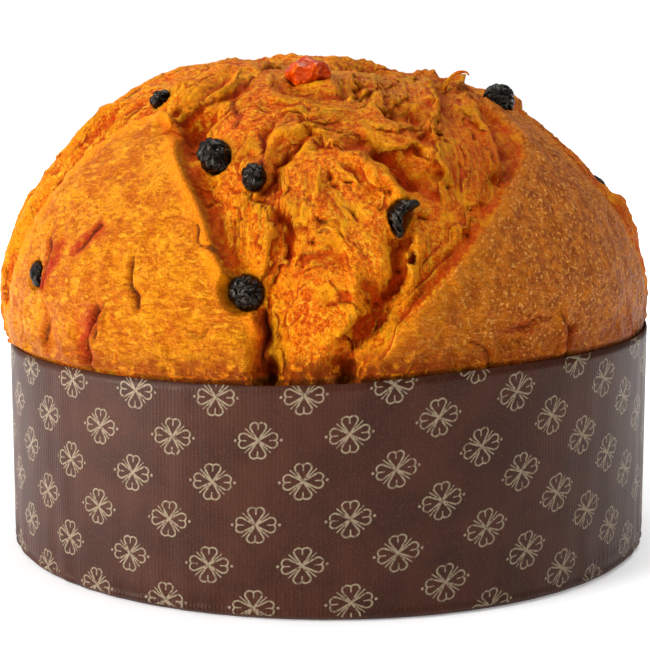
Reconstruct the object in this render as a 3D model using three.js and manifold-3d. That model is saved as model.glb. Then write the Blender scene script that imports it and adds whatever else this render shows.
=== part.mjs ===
// Panettone in its paper case: a tall round loaf whose dome has burst open along a crosswise cut,
// with raisins and candied peel sunk in the torn crust.
// Millimetres, +Z up, the shown side towards -Y. The origin is the centre of the case's flat base.

import * as THREE from 'three';
import { mergeVertices } from 'three/addons/utils/BufferGeometryUtils.js';
import Module from 'manifold-3d';

// Paper case: the usual mould for a low one-kilogram loaf, 210 mm across and 70 mm high.
const CASE_RADIUS = 105;
const CASE_WALL = 0.8;
const CASE_CORNER = 4;
const CASE_SEGMENTS = 96;
const RIM_HEIGHT = 69.2;
const RIM_WAVE = 2.2; // the rim stands this much lower on the left and higher on the right
const RIM_WAVE_TURN = 79; // degrees, where the rim crosses from low to high
const RIM_WAVE_SHARPNESS = 3.2;

// Dome: distance from its centre to the crust, every 15 degrees from the apex down, on two sides.
const DOME_CENTRE_Z = 70;
const PROFILE_STEP = 15;
const LEFT_PROFILE = [86.3, 89.6, 96.1, 100.5, 105.1, 108.3, 106.4, 104, 102];
const RIGHT_PROFILE = [86.3, 86.2, 90.9, 95.3, 100.1, 103.7, 103.2, 103.2, 102];

// Loaf inside the case
const CLEARANCE = 0.3;
const LOAF_RADIUS = CASE_RADIUS - CASE_WALL - CLEARANCE;
const LOAF_FLOOR = CASE_WALL + CLEARANCE;
const COLLAR = 2.2; // height above the rim where the crust starts to turn in
const TUCK = 0.5; // height above the rim where the crust meets the case's inner radius
const FACET = 4.9; // edge length of the crust's triangles
const SWELL = 0.7; // slow unevenness of the whole crust
const LIP_WIDTH = 9; // how far a lobe's curled edge reaches into the lobe
const VALLEY_WALL = 2.2; // how far out the wall below a lobe's edge reaches

const DEG = Math.PI / 180;

const COLOURS = {
  paper: 0x6b4438,
  crust: 0xd9841f,
  raisin: 0x1c1a1d,
  peel: 0xb5451a,
};

// Lobes of unbroken crust between the arms of the cut. An outline is a closed smooth curve through map
// points: degrees from the apex, along +X and +Y. lip is how far the edge curls up, valley how far the
// torn crust beside it drops, and reach how far that drop lasts.
const LOBES = [
  {
    name: 'front left',
    outline: [
      [-29, -38], [-29, -46], [-25, -59], [-21, -72], [-15.5, -81], [-16, -90], [-19, -104],
      [-60, -86], [-96, -42], [-90, -34], [-69, -33], [-51, -30], [-38, -31], [-31, -34],
    ],
    lip: 1.6,
    valley: 6,
    reach: 12,
  },
  {
    name: 'front right',
    outline: [
      [31, -21], [38, -28], [40, -36], [36, -49], [30, -63], [20, -77], [11, -86], [6, -92],
      [8, -104], [56, -88], [99, -32], [90, -14], [72, -17.5], [56, -22], [48, -21], [40, -17],
    ],
    lip: 1.2,
    valley: 2.4,
    reach: 8,
  },
  {
    name: 'back right',
    outline: [
      [26, 14], [44, 7], [66, 3], [92, 1], [103, 18], [62, 84], [20, 103], [15, 90], [18, 62], [15, 36],
    ],
    lip: 1.4,
    valley: 4.5,
    reach: 11,
  },
  {
    name: 'back left',
    outline: [
      [-20, 13], [-9, 36], [-11, 62], [-8, 90], [-14, 104], [-62, 84], [-103, 12], [-92, -13], [-65, -9],
      [-40, 1],
    ],
    lip: 0.8,
    valley: 5,
    reach: 12,
  },
];

// Folds, pockets and ribbons of torn crust, as smooth lines through map points.
const FOLDS = [
  { path: [[-30, -34], [-26, -35], [-21, -35], [-18, -31], [-16, -21]], width: 3.4, lift: 3 },
  { path: [[-30, -31], [-25, -30], [-20, -26]], width: 3.4, lift: -4 },
  { path: [[-31, -26], [-24, -24], [-17, -17]], width: 3.2, lift: 2.4 },
  { path: [[-31, -38], [-27, -40], [-23, -38]], width: 2.8, lift: -4.5 },
  { path: [[-27, -42], [-23, -48]], width: 3.4, lift: -3 },
  { path: [[-9, -45], [-12, -49], [-14, -54]], width: 2.8, lift: -2.8 },
  { path: [[-4, -49], [-8, -51.5], [-11, -56], [-11, -60]], width: 3.2, lift: -3.8 },
  { path: [[-6, -47], [-10, -50], [-13, -56]], width: 3, lift: 1.4 },
  { path: [[2, -53], [8, -56], [12, -59.5], [15, -62]], width: 3.2, lift: 2.6 },
  { path: [[7, -51], [13, -53], [19, -57]], width: 4.6, lift: -5.5 },
  { path: [[12, -39], [18, -38]], width: 4.4, lift: -4 },
  { path: [[18, -44], [20, -45.5]], width: 3.2, lift: -3 },
  { path: [[21, -13], [20, -30], [20, -45], [21, -60]], width: 3, lift: 2.6 },
  { path: [[24, -14], [22.5, -27], [24, -35]], width: 2.8, lift: -2.8 },
  { path: [[28, -16], [29, -30], [33, -40], [32, -48]], width: 2.8, lift: 2 },
  { path: [[30, -22], [34, -36], [36, -43]], width: 3, lift: -3.6 },
  { path: [[-9, -63], [-8.5, -67], [-12, -75]], width: 2.8, lift: -2.4 },
  { path: [[-8, -76], [-5, -72], [0, -71.5], [4, -73]], width: 2.8, lift: -1.8 },
  { path: [[6, -75], [6.5, -79], [5, -83]], width: 3.2, lift: 1.8 },
  { path: [[9, -75], [10, -79], [8, -83], [6, -86]], width: 3.4, lift: -4.4 },
  { path: [[14.5, -66], [14, -70], [14.5, -74], [12.5, -78]], width: 3, lift: -4 },
  { path: [[17, -65], [17, -71], [16, -77]], width: 2.6, lift: 1.6 },
  { path: [[-15.5, -80], [-16, -86], [-16, -93]], width: 3.4, lift: -6 },
  { path: [[4, -87], [4, -90.5]], width: 4.4, lift: -5 },
  { path: [[-58, -61], [-60, -68]], width: 3.2, lift: -2 },
  { path: [[-65, -49], [-70, -56]], width: 3.4, lift: -1.8 },
  { path: [[-42, -62], [-41, -68]], width: 3, lift: -1.6 },
  { path: [[40, -77], [46, -70]], width: 2.8, lift: -1.4 },
  { path: [[58, -62], [63, -66]], width: 3, lift: -1.5 },
  { path: [[-34, -19], [-52, -17], [-72, -22], [-92, -22]], width: 3.8, lift: 3.4 },
  { path: [[-36, -26], [-56, -25], [-74, -28]], width: 3, lift: -2.2 },
  { path: [[62, -11], [68, -10], [76, -7], [94, -8]], width: 4.6, lift: 4 },
  { path: [[18, -3], [21, -2], [24, -3]], width: 3.6, lift: 3.4 },
  { path: [[27.5, -1], [29, -1]], width: 3, lift: 3 },
  { path: [[35, -5], [38, -4], [41, -6]], width: 5, lift: 4 },
  { path: [[3, -6], [4, 6]], width: 3, lift: -1.6 },
  { path: [[-12, -1], [-9, 0]], width: 3, lift: 1.4 },
  { path: [[-24, 3], [-21, 1], [-18, 2]], width: 4, lift: 2 },
  { path: [[-34, -1], [-37, -3]], width: 4, lift: 2.6 },
  { path: [[-63, -11], [-70, -14]], width: 5.5, lift: 1.6 },
  { path: [[-1, 22], [7, 40], [0, 58], [6, 76], [3, 94]], width: 4, lift: 4 },
  { path: [[7, 20], [13, 38]], width: 3, lift: -2.6 },
  { path: [[-12, -6], [0, -12], [12, -6]], width: 3.6, lift: 2.4 },
  { path: [[-14, 4], [-2, -2], [14, 3], [22, -6]], width: 3.4, lift: -2.6 },
  { path: [[-10, 12], [3, 8], [16, 12]], width: 3.6, lift: 2.4 },
  { path: [[-9, -28], [-8, -34], [2, -36], [6, -30]], width: 3.2, lift: -2.4 },
];

// Fruit sunk in the crust. at is a map point, size the three diameters, with the last along the crust's
// normal, rise how far the middle stands above the torn crust, turn and bend shape it in its plane.
const FRUIT = [
  { name: 'raisin_1', at: [-21.9, -49.3], size: [10, 13, 9], rise: 1.5, turn: 25, bend: 0 },
  { name: 'raisin_2', at: [-14, -56.7], size: [8, 9.5, 7.5], rise: 1.5, turn: 10, bend: 0 },
  { name: 'raisin_3', at: [-17.7, -75.2], size: [10.5, 11.5, 8.5], rise: -0.5, turn: 40, bend: 0 },
  { name: 'raisin_4', at: [14.6, -64], size: [6.4, 12, 6], rise: 0.8, turn: -28, bend: 0.9 },
  { name: 'raisin_5', at: [34.7, -17], size: [11.5, 10, 9], rise: 2.5, turn: 60, bend: 0 },
  { name: 'raisin_6', at: [-32.6, -24.6], size: [7, 5, 5.5], rise: 0.2, turn: 0, bend: 0 },
  { name: 'raisin_7', at: [-64.6, -43.1], size: [6, 9, 6], rise: -1.6, turn: 15, bend: 0 },
  { name: 'raisin_8', at: [-2, 47], size: [10, 12, 8.5], rise: 1, turn: 70, bend: 0 },
  { name: 'raisin_9', at: [10, 66], size: [9, 11, 8], rise: 1, turn: 20, bend: 0 },
  { name: 'raisin_10', at: [-52, 44], size: [8, 10, 6.5], rise: -0.6, turn: 45, bend: 0 },
  { name: 'raisin_11', at: [64, 10], size: [9, 10.5, 8], rise: -0.4, turn: 75, bend: 0 },
  { name: 'peel_1', at: [-3.9, -28.1], size: [15, 11.5, 10.5], rise: 1, turn: 4, bend: 0 },
  { name: 'peel_2', at: [5, 30], size: [12, 10, 8], rise: 1, turn: 30, bend: 0 },
];

// Value at a fractional index of evenly spaced numbers, on a smooth curve that passes through them.
function smoothValue(values, before, index) {
  const start = Math.min(Math.floor(index), values.length - 2);
  const t = index - start;
  const a = start === 0 ? before : values[start - 1];
  const b = values[start];
  const c = values[start + 1];
  const d = values[Math.min(start + 2, values.length - 1)];
  return b + 0.5 * t * (c - a + t * (2 * a - 5 * b + 4 * c - d + t * (3 * (b - c) + d - a)));
}

// Distance from the dome's centre to the plain crust. polar is measured from the apex, azimuth from +X.
function domeRadius(polar, azimuth) {
  const index = polar / DEG / PROFILE_STEP;
  const left = smoothValue(LEFT_PROFILE, RIGHT_PROFILE[1], index);
  const right = smoothValue(RIGHT_PROFILE, LEFT_PROFILE[1], index);
  const share = (1 + Math.cos(azimuth)) / 2;
  return left + (right - left) * share;
}

function crustPoint(polar, azimuth, rise) {
  const radius = domeRadius(polar, azimuth) + rise;
  const level = radius * Math.sin(polar);
  return new THREE.Vector3(
    level * Math.cos(azimuth),
    level * Math.sin(azimuth),
    DOME_CENTRE_Z + radius * Math.cos(polar),
  );
}

function mapPoint(polar, azimuth) {
  return new THREE.Vector2(Math.cos(azimuth), Math.sin(azimuth)).multiplyScalar(polar / DEG);
}

function crustPointOfMap(point) {
  return crustPoint(point.length() * DEG, Math.atan2(point.y, point.x), 0);
}

function rimHeight(azimuth) {
  const crossing = Math.sin(azimuth + RIM_WAVE_TURN * DEG);
  return RIM_HEIGHT + RIM_WAVE * Math.tanh(RIM_WAVE_SHARPNESS * crossing);
}

// A smooth line through map points, as short pieces with their ends on the map and on the dome.
function traceLine(points, closed, piecesEach) {
  const corners = points.map(([x, y]) => new THREE.Vector3(x, y, 0));
  const curve = new THREE.CatmullRomCurve3(corners, closed, 'centripetal');
  const flat = curve.getPoints(piecesEach * points.length).map((p) => new THREE.Vector2(p.x, p.y));
  return { flat, solid: flat.map(crustPointOfMap) };
}

// Distance in millimetres from a point on the dome to a line, and how far along the line it is, 0 to 1.
function nearestOnLine(line, place) {
  const segment = new THREE.Line3();
  const foot = new THREE.Vector3();
  let distance = Infinity;
  let along = 0;
  for (let i = 0; i + 1 < line.solid.length; i += 1) {
    segment.set(line.solid[i], line.solid[i + 1]);
    const share = segment.closestPointToPointParameter(place, true);
    segment.at(share, foot);
    const gap = foot.distanceTo(place);
    if (gap < distance) {
      distance = gap;
      along = (i + share) / (line.solid.length - 1);
    }
  }
  return { distance, along };
}

function insideOutline(flat, point) {
  let inside = false;
  for (let i = 0, j = flat.length - 1; i < flat.length; j = i, i += 1) {
    const a = flat[i];
    const b = flat[j];
    if (a.y > point.y !== b.y > point.y) {
      const crossing = a.x + ((point.y - a.y) / (b.y - a.y)) * (b.x - a.x);
      if (point.x < crossing) {
        inside = !inside;
      }
    }
  }
  return inside;
}

const lobeLines = LOBES.map((lobe) => ({ ...lobe, line: traceLine(lobe.outline, true, 4) }));
const foldLines = FOLDS.map((fold) => ({ ...fold, line: traceLine(fold.path, false, 4) }));

// Lift of the lobes' curled edges, and the drop of the torn crust beside them.
function lobeRelief(flatPoint, place) {
  let drop = 0;
  for (const lobe of lobeLines) {
    const { distance } = nearestOnLine(lobe.line, place);
    if (insideOutline(lobe.line.flat, flatPoint)) {
      return lobe.lip * Math.exp(-distance / LIP_WIDTH);
    }
    const wall = 1 - Math.exp(-distance / VALLEY_WALL);
    drop = Math.max(drop, lobe.valley * wall * Math.exp(-distance / lobe.reach));
  }
  return -drop;
}

function foldRelief(place) {
  const taper = 0.18;
  let rise = 0;
  for (const fold of foldLines) {
    const { distance, along } = nearestOnLine(fold.line, place);
    const end = Math.min(along, 1 - along) / taper;
    const fade = 0.35 + 0.65 * Math.min(1, end);
    rise += fold.lift * fade * Math.exp(-((distance / fold.width) ** 2));
  }
  return rise;
}

function swell(place) {
  const { x, y, z } = place;
  const slow = Math.sin(x / 17 + 1.3) * Math.sin(y / 21 - 0.4) + Math.sin(z / 15 + x / 29);
  const quick = Math.sin(x / 8.3 - z / 11) * Math.sin(y / 9.1 + z / 7.7 + 2);
  return SWELL * (slow + 0.6 * quick);
}

function crustRise(polar, azimuth) {
  const place = crustPoint(polar, azimuth, 0);
  return lobeRelief(mapPoint(polar, azimuth), place) + foldRelief(place) + swell(place);
}

// One level ring of points, evenly spaced round the axis.
function ring(count, pointAt) {
  return Array.from({ length: count }, (_, i) => pointAt((i / count) * 2 * Math.PI));
}

function countFor(radius, spacing) {
  return Math.max(6, Math.round((2 * Math.PI * radius) / spacing));
}

// A closed skin from a top point, rings from the top down, and a bottom point.
// Neighbouring rings may differ in their number of points.
function skinGeometry(top, rings, bottom) {
  const points = [top, ...rings.flat(), bottom];
  const faces = [];
  let upper = 1;
  for (let j = 0; j < rings[0].length; j += 1) {
    faces.push(0, upper + j, upper + ((j + 1) % rings[0].length));
  }
  for (let r = 0; r + 1 < rings.length; r += 1) {
    const above = rings[r].length;
    const below = rings[r + 1].length;
    const lower = upper + above;
    let i = 0;
    let j = 0;
    while (i < above || j < below) {
      const a = upper + (i % above);
      const b = lower + (j % below);
      if (j >= below || (i < above && (i + 1) * below <= (j + 1) * above)) {
        i += 1;
        faces.push(a, b, upper + (i % above));
      } else {
        j += 1;
        faces.push(a, b, lower + (j % below));
      }
    }
    upper = lower;
  }
  const last = rings[rings.length - 1].length;
  for (let j = 0; j < last; j += 1) {
    faces.push(points.length - 1, upper + ((j + 1) % last), upper + j);
  }
  const geometry = new THREE.BufferGeometry().setFromPoints(points);
  geometry.setIndex(faces);
  return geometry;
}

function loafGeometry() {
  const steps = Math.round(((Math.PI / 2) * 100) / FACET);
  const dome = [];
  for (let i = 1; i <= steps; i += 1) {
    const level = 103 * Math.sin(((i / steps) * Math.PI) / 2);
    dome.push(
      ring(countFor(level, FACET), (azimuth) => {
        const height = rimHeight(azimuth) + COLLAR - DOME_CENTRE_Z;
        const polar = (i / steps) * Math.acos(height / CASE_RADIUS);
        return crustPoint(polar, azimuth, crustRise(polar, azimuth));
      }),
    );
  }
  // Below the collar the crust turns in over the rim and follows the case's wall down.
  const collar = dome[dome.length - 1];
  const tucked = collar.map((point) => {
    const azimuth = Math.atan2(point.y, point.x);
    const radius = Math.min(LOAF_RADIUS, Math.hypot(point.x, point.y));
    return levelPoint(radius, azimuth, rimHeight(azimuth) + TUCK);
  });
  const wallCount = 96;
  const straight = (radius, heightAt) => ring(wallCount, (azimuth) => levelPoint(radius, azimuth, heightAt(azimuth)));
  const cornerRadius = CASE_CORNER - CASE_WALL;
  const cornerSlack = cornerRadius * (1 - Math.SQRT1_2);
  const wall = [
    straight(LOAF_RADIUS, (azimuth) => rimHeight(azimuth) - 6),
    straight(LOAF_RADIUS, () => LOAF_FLOOR + cornerRadius),
    straight(LOAF_RADIUS - cornerSlack, () => LOAF_FLOOR + cornerSlack),
    straight(LOAF_RADIUS - cornerRadius, () => LOAF_FLOOR),
  ];
  const apex = crustPoint(0, 0, crustRise(0, 0));
  return skinGeometry(apex, [...dome, tucked, ...wall], new THREE.Vector3(0, 0, LOAF_FLOOR));
}

function levelPoint(radius, azimuth, height) {
  return new THREE.Vector3(radius * Math.cos(azimuth), radius * Math.sin(azimuth), height);
}

// The case is one turned cup. Its rim then follows the uneven height of the cut paper.
function caseGeometry() {
  const profile = new THREE.Path();
  const inner = CASE_RADIUS - CASE_WALL;
  const corner = CASE_RADIUS - CASE_CORNER;
  profile.moveTo(0, 0);
  profile.lineTo(corner, 0);
  profile.absarc(corner, CASE_CORNER, CASE_CORNER, -Math.PI / 2, 0, false);
  profile.lineTo(CASE_RADIUS, RIM_HEIGHT);
  profile.lineTo(inner, RIM_HEIGHT);
  profile.lineTo(inner, CASE_CORNER);
  profile.absarc(corner, CASE_CORNER, CASE_CORNER - CASE_WALL, 0, -Math.PI / 2, true);
  profile.lineTo(0, CASE_WALL);
  const points = profile.getPoints(2).filter((p, i, all) => i === 0 || p.distanceTo(all[i - 1]) > 1e-6);
  const geometry = new THREE.LatheGeometry(points, CASE_SEGMENTS);
  geometry.rotateX(Math.PI / 2);
  const place = geometry.getAttribute('position');
  for (let i = 0; i < place.count; i += 1) {
    if (Math.abs(place.getZ(i) - RIM_HEIGHT) < 1e-3) {
      place.setZ(i, rimHeight(Math.atan2(place.getY(i), place.getX(i))));
    }
  }
  return geometry;
}

// A wrinkled pebble, flattened and bent as the fruit is, with its third axis out of the crust.
function fruitGeometry({ size, bend, at }) {
  const geometry = new THREE.IcosahedronGeometry(1, 2);
  const place = geometry.getAttribute('position');
  const point = new THREE.Vector3();
  for (let i = 0; i < place.count; i += 1) {
    point.fromBufferAttribute(place, i);
    const dent = Math.sin(5 * point.x + at[0]) * Math.sin(4 * point.y + at[1]) * Math.cos(3 * point.z);
    point.multiplyScalar(1 + 0.06 * dent);
    const lean = bend * (point.y ** 2 - 0.5);
    place.setXYZ(i, (size[0] / 2) * (point.x + lean), (size[1] / 2) * point.y, (size[2] / 2) * point.z);
  }
  return geometry;
}

function placeFruit(mesh, { at, rise, turn }) {
  const spot = new THREE.Vector2(at[0], at[1]);
  const polar = spot.length() * DEG;
  const azimuth = Math.atan2(spot.y, spot.x);
  const outward = new THREE.Vector3(
    Math.sin(polar) * Math.cos(azimuth),
    Math.sin(polar) * Math.sin(azimuth),
    Math.cos(polar),
  );
  const across = new THREE.Vector3(1, 0, 0).addScaledVector(outward, -outward.x).normalize();
  const along = outward.clone().cross(across);
  mesh.position.copy(crustPoint(polar, azimuth, crustRise(polar, azimuth) + rise));
  mesh.quaternion.setFromRotationMatrix(new THREE.Matrix4().makeBasis(across, along, outward));
  mesh.rotateZ(turn * DEG);
  mesh.updateMatrix();
}

function material(colour, roughness) {
  return new THREE.MeshStandardMaterial({ color: colour, roughness, metalness: 0 });
}

function named(name, geometry, look) {
  const mesh = new THREE.Mesh(geometry, look);
  mesh.name = name;
  return mesh;
}

const wasm = await Module();
wasm.setup();

function solidOf(geometry) {
  const bare = new THREE.BufferGeometry();
  bare.setAttribute('position', geometry.getAttribute('position').clone());
  bare.setIndex(geometry.getIndex() ? geometry.getIndex().clone() : null);
  const merged = mergeVertices(bare, 1e-4);
  const vertProperties = new Float32Array(merged.getAttribute('position').array);
  const triVerts = new Uint32Array(merged.getIndex().array);
  return new wasm.Manifold(new wasm.Mesh({ numProp: 3, vertProperties, triVerts }));
}

function geometryOf(solid) {
  const mesh = solid.getMesh();
  const geometry = new THREE.BufferGeometry();
  geometry.setAttribute('position', new THREE.BufferAttribute(mesh.vertProperties, 3));
  geometry.setIndex(new THREE.BufferAttribute(mesh.triVerts, 1));
  return geometry;
}

// The fruit's own shape, grown by the clearance, which the loaf's crust is cut back from.
function socketOf(fruit) {
  const room = 2 * CLEARANCE + 0.2;
  const grown = fruitGeometry({ ...fruit, size: fruit.size.map((side) => side + room) });
  const holder = new THREE.Object3D();
  placeFruit(holder, fruit);
  return solidOf(grown.applyMatrix4(holder.matrix));
}

const panettone = new THREE.Group();
panettone.add(named('paper_case', caseGeometry(), material(COLOURS.paper, 0.55)));

let bread = solidOf(loafGeometry());
for (const fruit of FRUIT) {
  bread = bread.subtract(socketOf(fruit));
}
const largest = bread.decompose().sort((a, b) => b.volume() - a.volume())[0];
panettone.add(named('loaf', geometryOf(largest), material(COLOURS.crust, 0.6)));

for (const fruit of FRUIT) {
  const isPeel = fruit.name.startsWith('peel');
  const look = isPeel ? material(COLOURS.peel, 0.25) : material(COLOURS.raisin, 0.35);
  const mesh = named(fruit.name, fruitGeometry(fruit), look);
  placeFruit(mesh, fruit);
  panettone.add(mesh);
}

export default panettone;
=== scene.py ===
"""Panettone in its printed paper case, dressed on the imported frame.

Lengths are millimetres in the form functions and metres in the meshes. Map points are degrees from the
dome's apex, along +X and +Y, as in the part's source.
"""
import math

import bmesh
import bpy
import numpy as np
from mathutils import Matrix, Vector

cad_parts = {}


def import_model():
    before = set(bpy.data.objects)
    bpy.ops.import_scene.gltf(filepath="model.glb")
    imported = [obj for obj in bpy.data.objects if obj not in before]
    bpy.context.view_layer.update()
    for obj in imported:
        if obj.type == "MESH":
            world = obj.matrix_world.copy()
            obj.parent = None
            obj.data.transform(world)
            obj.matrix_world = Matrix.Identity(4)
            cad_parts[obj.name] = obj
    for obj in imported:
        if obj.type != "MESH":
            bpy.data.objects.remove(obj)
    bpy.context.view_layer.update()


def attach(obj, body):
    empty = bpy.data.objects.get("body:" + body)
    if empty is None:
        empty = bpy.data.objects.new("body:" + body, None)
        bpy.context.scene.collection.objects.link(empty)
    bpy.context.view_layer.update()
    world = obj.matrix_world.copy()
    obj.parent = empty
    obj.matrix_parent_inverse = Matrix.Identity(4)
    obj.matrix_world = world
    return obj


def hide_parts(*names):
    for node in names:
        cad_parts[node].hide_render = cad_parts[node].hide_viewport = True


MM = 0.001

# Form of the part, the same numbers as its source has.
CASE_RADIUS = 105
CASE_WALL = 0.8
CASE_CORNER = 4
RIM_HEIGHT = 69.2
RIM_WAVE = 2.2
RIM_WAVE_TURN = 79
RIM_WAVE_SHARPNESS = 3.2
DOME_CENTRE_Z = 70
PROFILE_STEP = 15
LEFT_PROFILE = [86.3, 89.6, 96.1, 100.5, 105.1, 108.3, 106.4, 104, 102]
RIGHT_PROFILE = [86.3, 86.2, 90.9, 95.3, 100.1, 103.7, 103.2, 103.2, 102]
LOAF_RADIUS = 103.9
LOAF_FLOOR = 1.1
COLLAR = 2.2
TUCK = 0.5
SWELL = 0.7
LIP_WIDTH = 9
SOURCE_VALLEY_WALL = 2.2

# Finer than the source: the wall under a lobe's edge is steeper here, and the edge curls up.
VALLEY_WALL = 1.1
EDGE_CURL = 0.9
SOURCE_EDGE_CURL = 0.01

# Grid of the bread: steps between rings and round them, and how far it crowds to the front.
RING_STEP = 0.82
SPACING = 0.9
GRID_RADIUS = 103
GRID_ARC = math.pi / 2 * 100
CROWDING = 0.36

# Lips narrower than this keep to their drawn line. Wider ones are torn unevenly.
THIN_LIP = 1.3
SMALL_LIPS = 210
SMALL_PITS = 150
SMALL_TIPS = 30
SOCKET_GAP = 0.35
SOCKET_SLOPE = 2.6
EVEN_PULL = 0.3
LIP_PULL = 1.5
LIP_PULL_WIDTH = 7
FAR = 60
TORN_FADE = 1.6
RED_FOLD = -1.7
FOLD_PULL_WIDTH = 6
LIP_TAPER = 0.16
SCAR_TAPER = 0.2

# Heights of the bread's relief, and gains on the heights of the tables.
LIP_GAIN = 1.15
HOLLOW_GAIN = 1.45
FIBRE_RISE = 0.08
STRAND_RISE = 0.12
CREASE_RISE = 0.08
SHEET_RISE = 0.36
BLISTER_RISE = 0.07
DIMPLE_RISE = 0.16
BAND_RISE = 0.22
BAND_REACH = 9
CRAG_RISE = 0.26
SMALL_CRAG_RISE = 0.14

LOBES = [
    dict(
        outline=[(-29, -38), (-29, -46), (-25, -59), (-21, -72), (-15.5, -81), (-16, -90), (-19, -104),
                 (-60, -86), (-96, -42), (-90, -34), (-69, -33), (-51, -30), (-38, -31), (-31, -34)],
        lip=1.6, valley=6, reach=12,
    ),
    dict(
        outline=[(31, -21), (38, -28), (40, -36), (36, -49), (30, -63), (20, -77), (11, -86), (6, -92),
                 (8, -104), (56, -88), (99, -32), (90, -14), (72, -17.5), (56, -22), (48, -21), (40, -17)],
        lip=1.2, valley=2.4, reach=8,
    ),
    dict(
        outline=[(26, 14), (44, 7), (66, 3), (92, 1), (103, 18), (62, 84), (20, 103), (15, 90), (18, 62),
                 (15, 36)],
        lip=1.4, valley=4.5, reach=11,
    ),
    dict(
        outline=[(-20, 13), (-9, 36), (-11, 62), (-8, 90), (-14, 104), (-62, 84), (-103, 12), (-92, -13),
                 (-65, -9), (-40, 1)],
        lip=0.8, valley=5, reach=12,
    ),
]

# Folds of the source: points, width, lift.
FOLDS = [
    ([(-30, -34), (-26, -35), (-21, -35), (-18, -31), (-16, -21)], 3.4, 3),
    ([(-30, -31), (-25, -30), (-20, -26)], 3.4, -4),
    ([(-31, -26), (-24, -24), (-17, -17)], 3.2, 2.4),
    ([(-31, -38), (-27, -40), (-23, -38)], 2.8, -4.5),
    ([(-27, -42), (-23, -48)], 3.4, -3),
    ([(-9, -45), (-12, -49), (-14, -54)], 2.8, -2.8),
    ([(-4, -49), (-8, -51.5), (-11, -56), (-11, -60)], 3.2, -3.8),
    ([(-6, -47), (-10, -50), (-13, -56)], 3, 1.4),
    ([(2, -53), (8, -56), (12, -59.5), (15, -62)], 3.2, 2.6),
    ([(7, -51), (13, -53), (19, -57)], 4.6, -5.5),
    ([(12, -39), (18, -38)], 4.4, -4),
    ([(18, -44), (20, -45.5)], 3.2, -3),
    ([(21, -13), (20, -30), (20, -45), (21, -60)], 3, 2.6),
    ([(24, -14), (22.5, -27), (24, -35)], 2.8, -2.8),
    ([(28, -16), (29, -30), (33, -40), (32, -48)], 2.8, 2),
    ([(30, -22), (34, -36), (36, -43)], 3, -3.6),
    ([(-9, -63), (-8.5, -67), (-12, -75)], 2.8, -2.4),
    ([(-8, -76), (-5, -72), (0, -71.5), (4, -73)], 2.8, -1.8),
    ([(6, -75), (6.5, -79), (5, -83)], 3.2, 1.8),
    ([(9, -75), (10, -79), (8, -83), (6, -86)], 3.4, -4.4),
    ([(14.5, -66), (14, -70), (14.5, -74), (12.5, -78)], 3, -4),
    ([(17, -65), (17, -71), (16, -77)], 2.6, 1.6),
    ([(-15.5, -80), (-16, -86), (-16, -93)], 2.6, -5.5),
    ([(4, -87), (4, -90.5)], 4.4, -5),
    ([(-58, -61), (-60, -68)], 3.2, -2),
    ([(-65, -49), (-70, -56)], 3.4, -1.8),
    ([(-42, -62), (-41, -68)], 3, -1.6),
    ([(40, -77), (46, -70)], 2.8, -1.4),
    ([(58, -62), (63, -66)], 3, -1.5),
    ([(-34, -19), (-52, -17), (-72, -22), (-92, -22)], 3.8, 3.4),
    ([(-36, -26), (-56, -25), (-74, -28)], 3, -2.2),
    ([(62, -11), (68, -10), (76, -7), (94, -8)], 4.6, 4),
    ([(18, -3), (21, -2), (24, -3)], 3.6, 3.4),
    ([(27.5, -1), (29, -1)], 3, 3),
    ([(35, -5), (38, -4), (41, -6)], 5, 4),
    ([(3, -6), (4, 6)], 3, -1.6),
    ([(-12, -1), (-9, 0)], 3, 1.4),
    ([(-24, 3), (-21, 1), (-18, 2)], 4, 2),
    ([(-34, -1), (-37, -3)], 4, 2.6),
    ([(-63, -11), (-70, -14)], 5.5, 1.6),
    ([(-1, 22), (7, 40), (0, 58), (6, 76), (3, 94)], 4, 4),
    ([(7, 20), (13, 38)], 3, -2.6),
    ([(-12, -6), (0, -12), (12, -6)], 3.6, 2.4),
    ([(-14, 4), (-2, -2), (14, 3), (22, -6)], 3.4, -2.6),
    ([(-10, 12), (3, 8), (16, 12)], 3.6, 2.4),
    ([(-9, -28), (-8, -34), (2, -36), (6, -30)], 3.2, -2.4),
]

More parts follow.
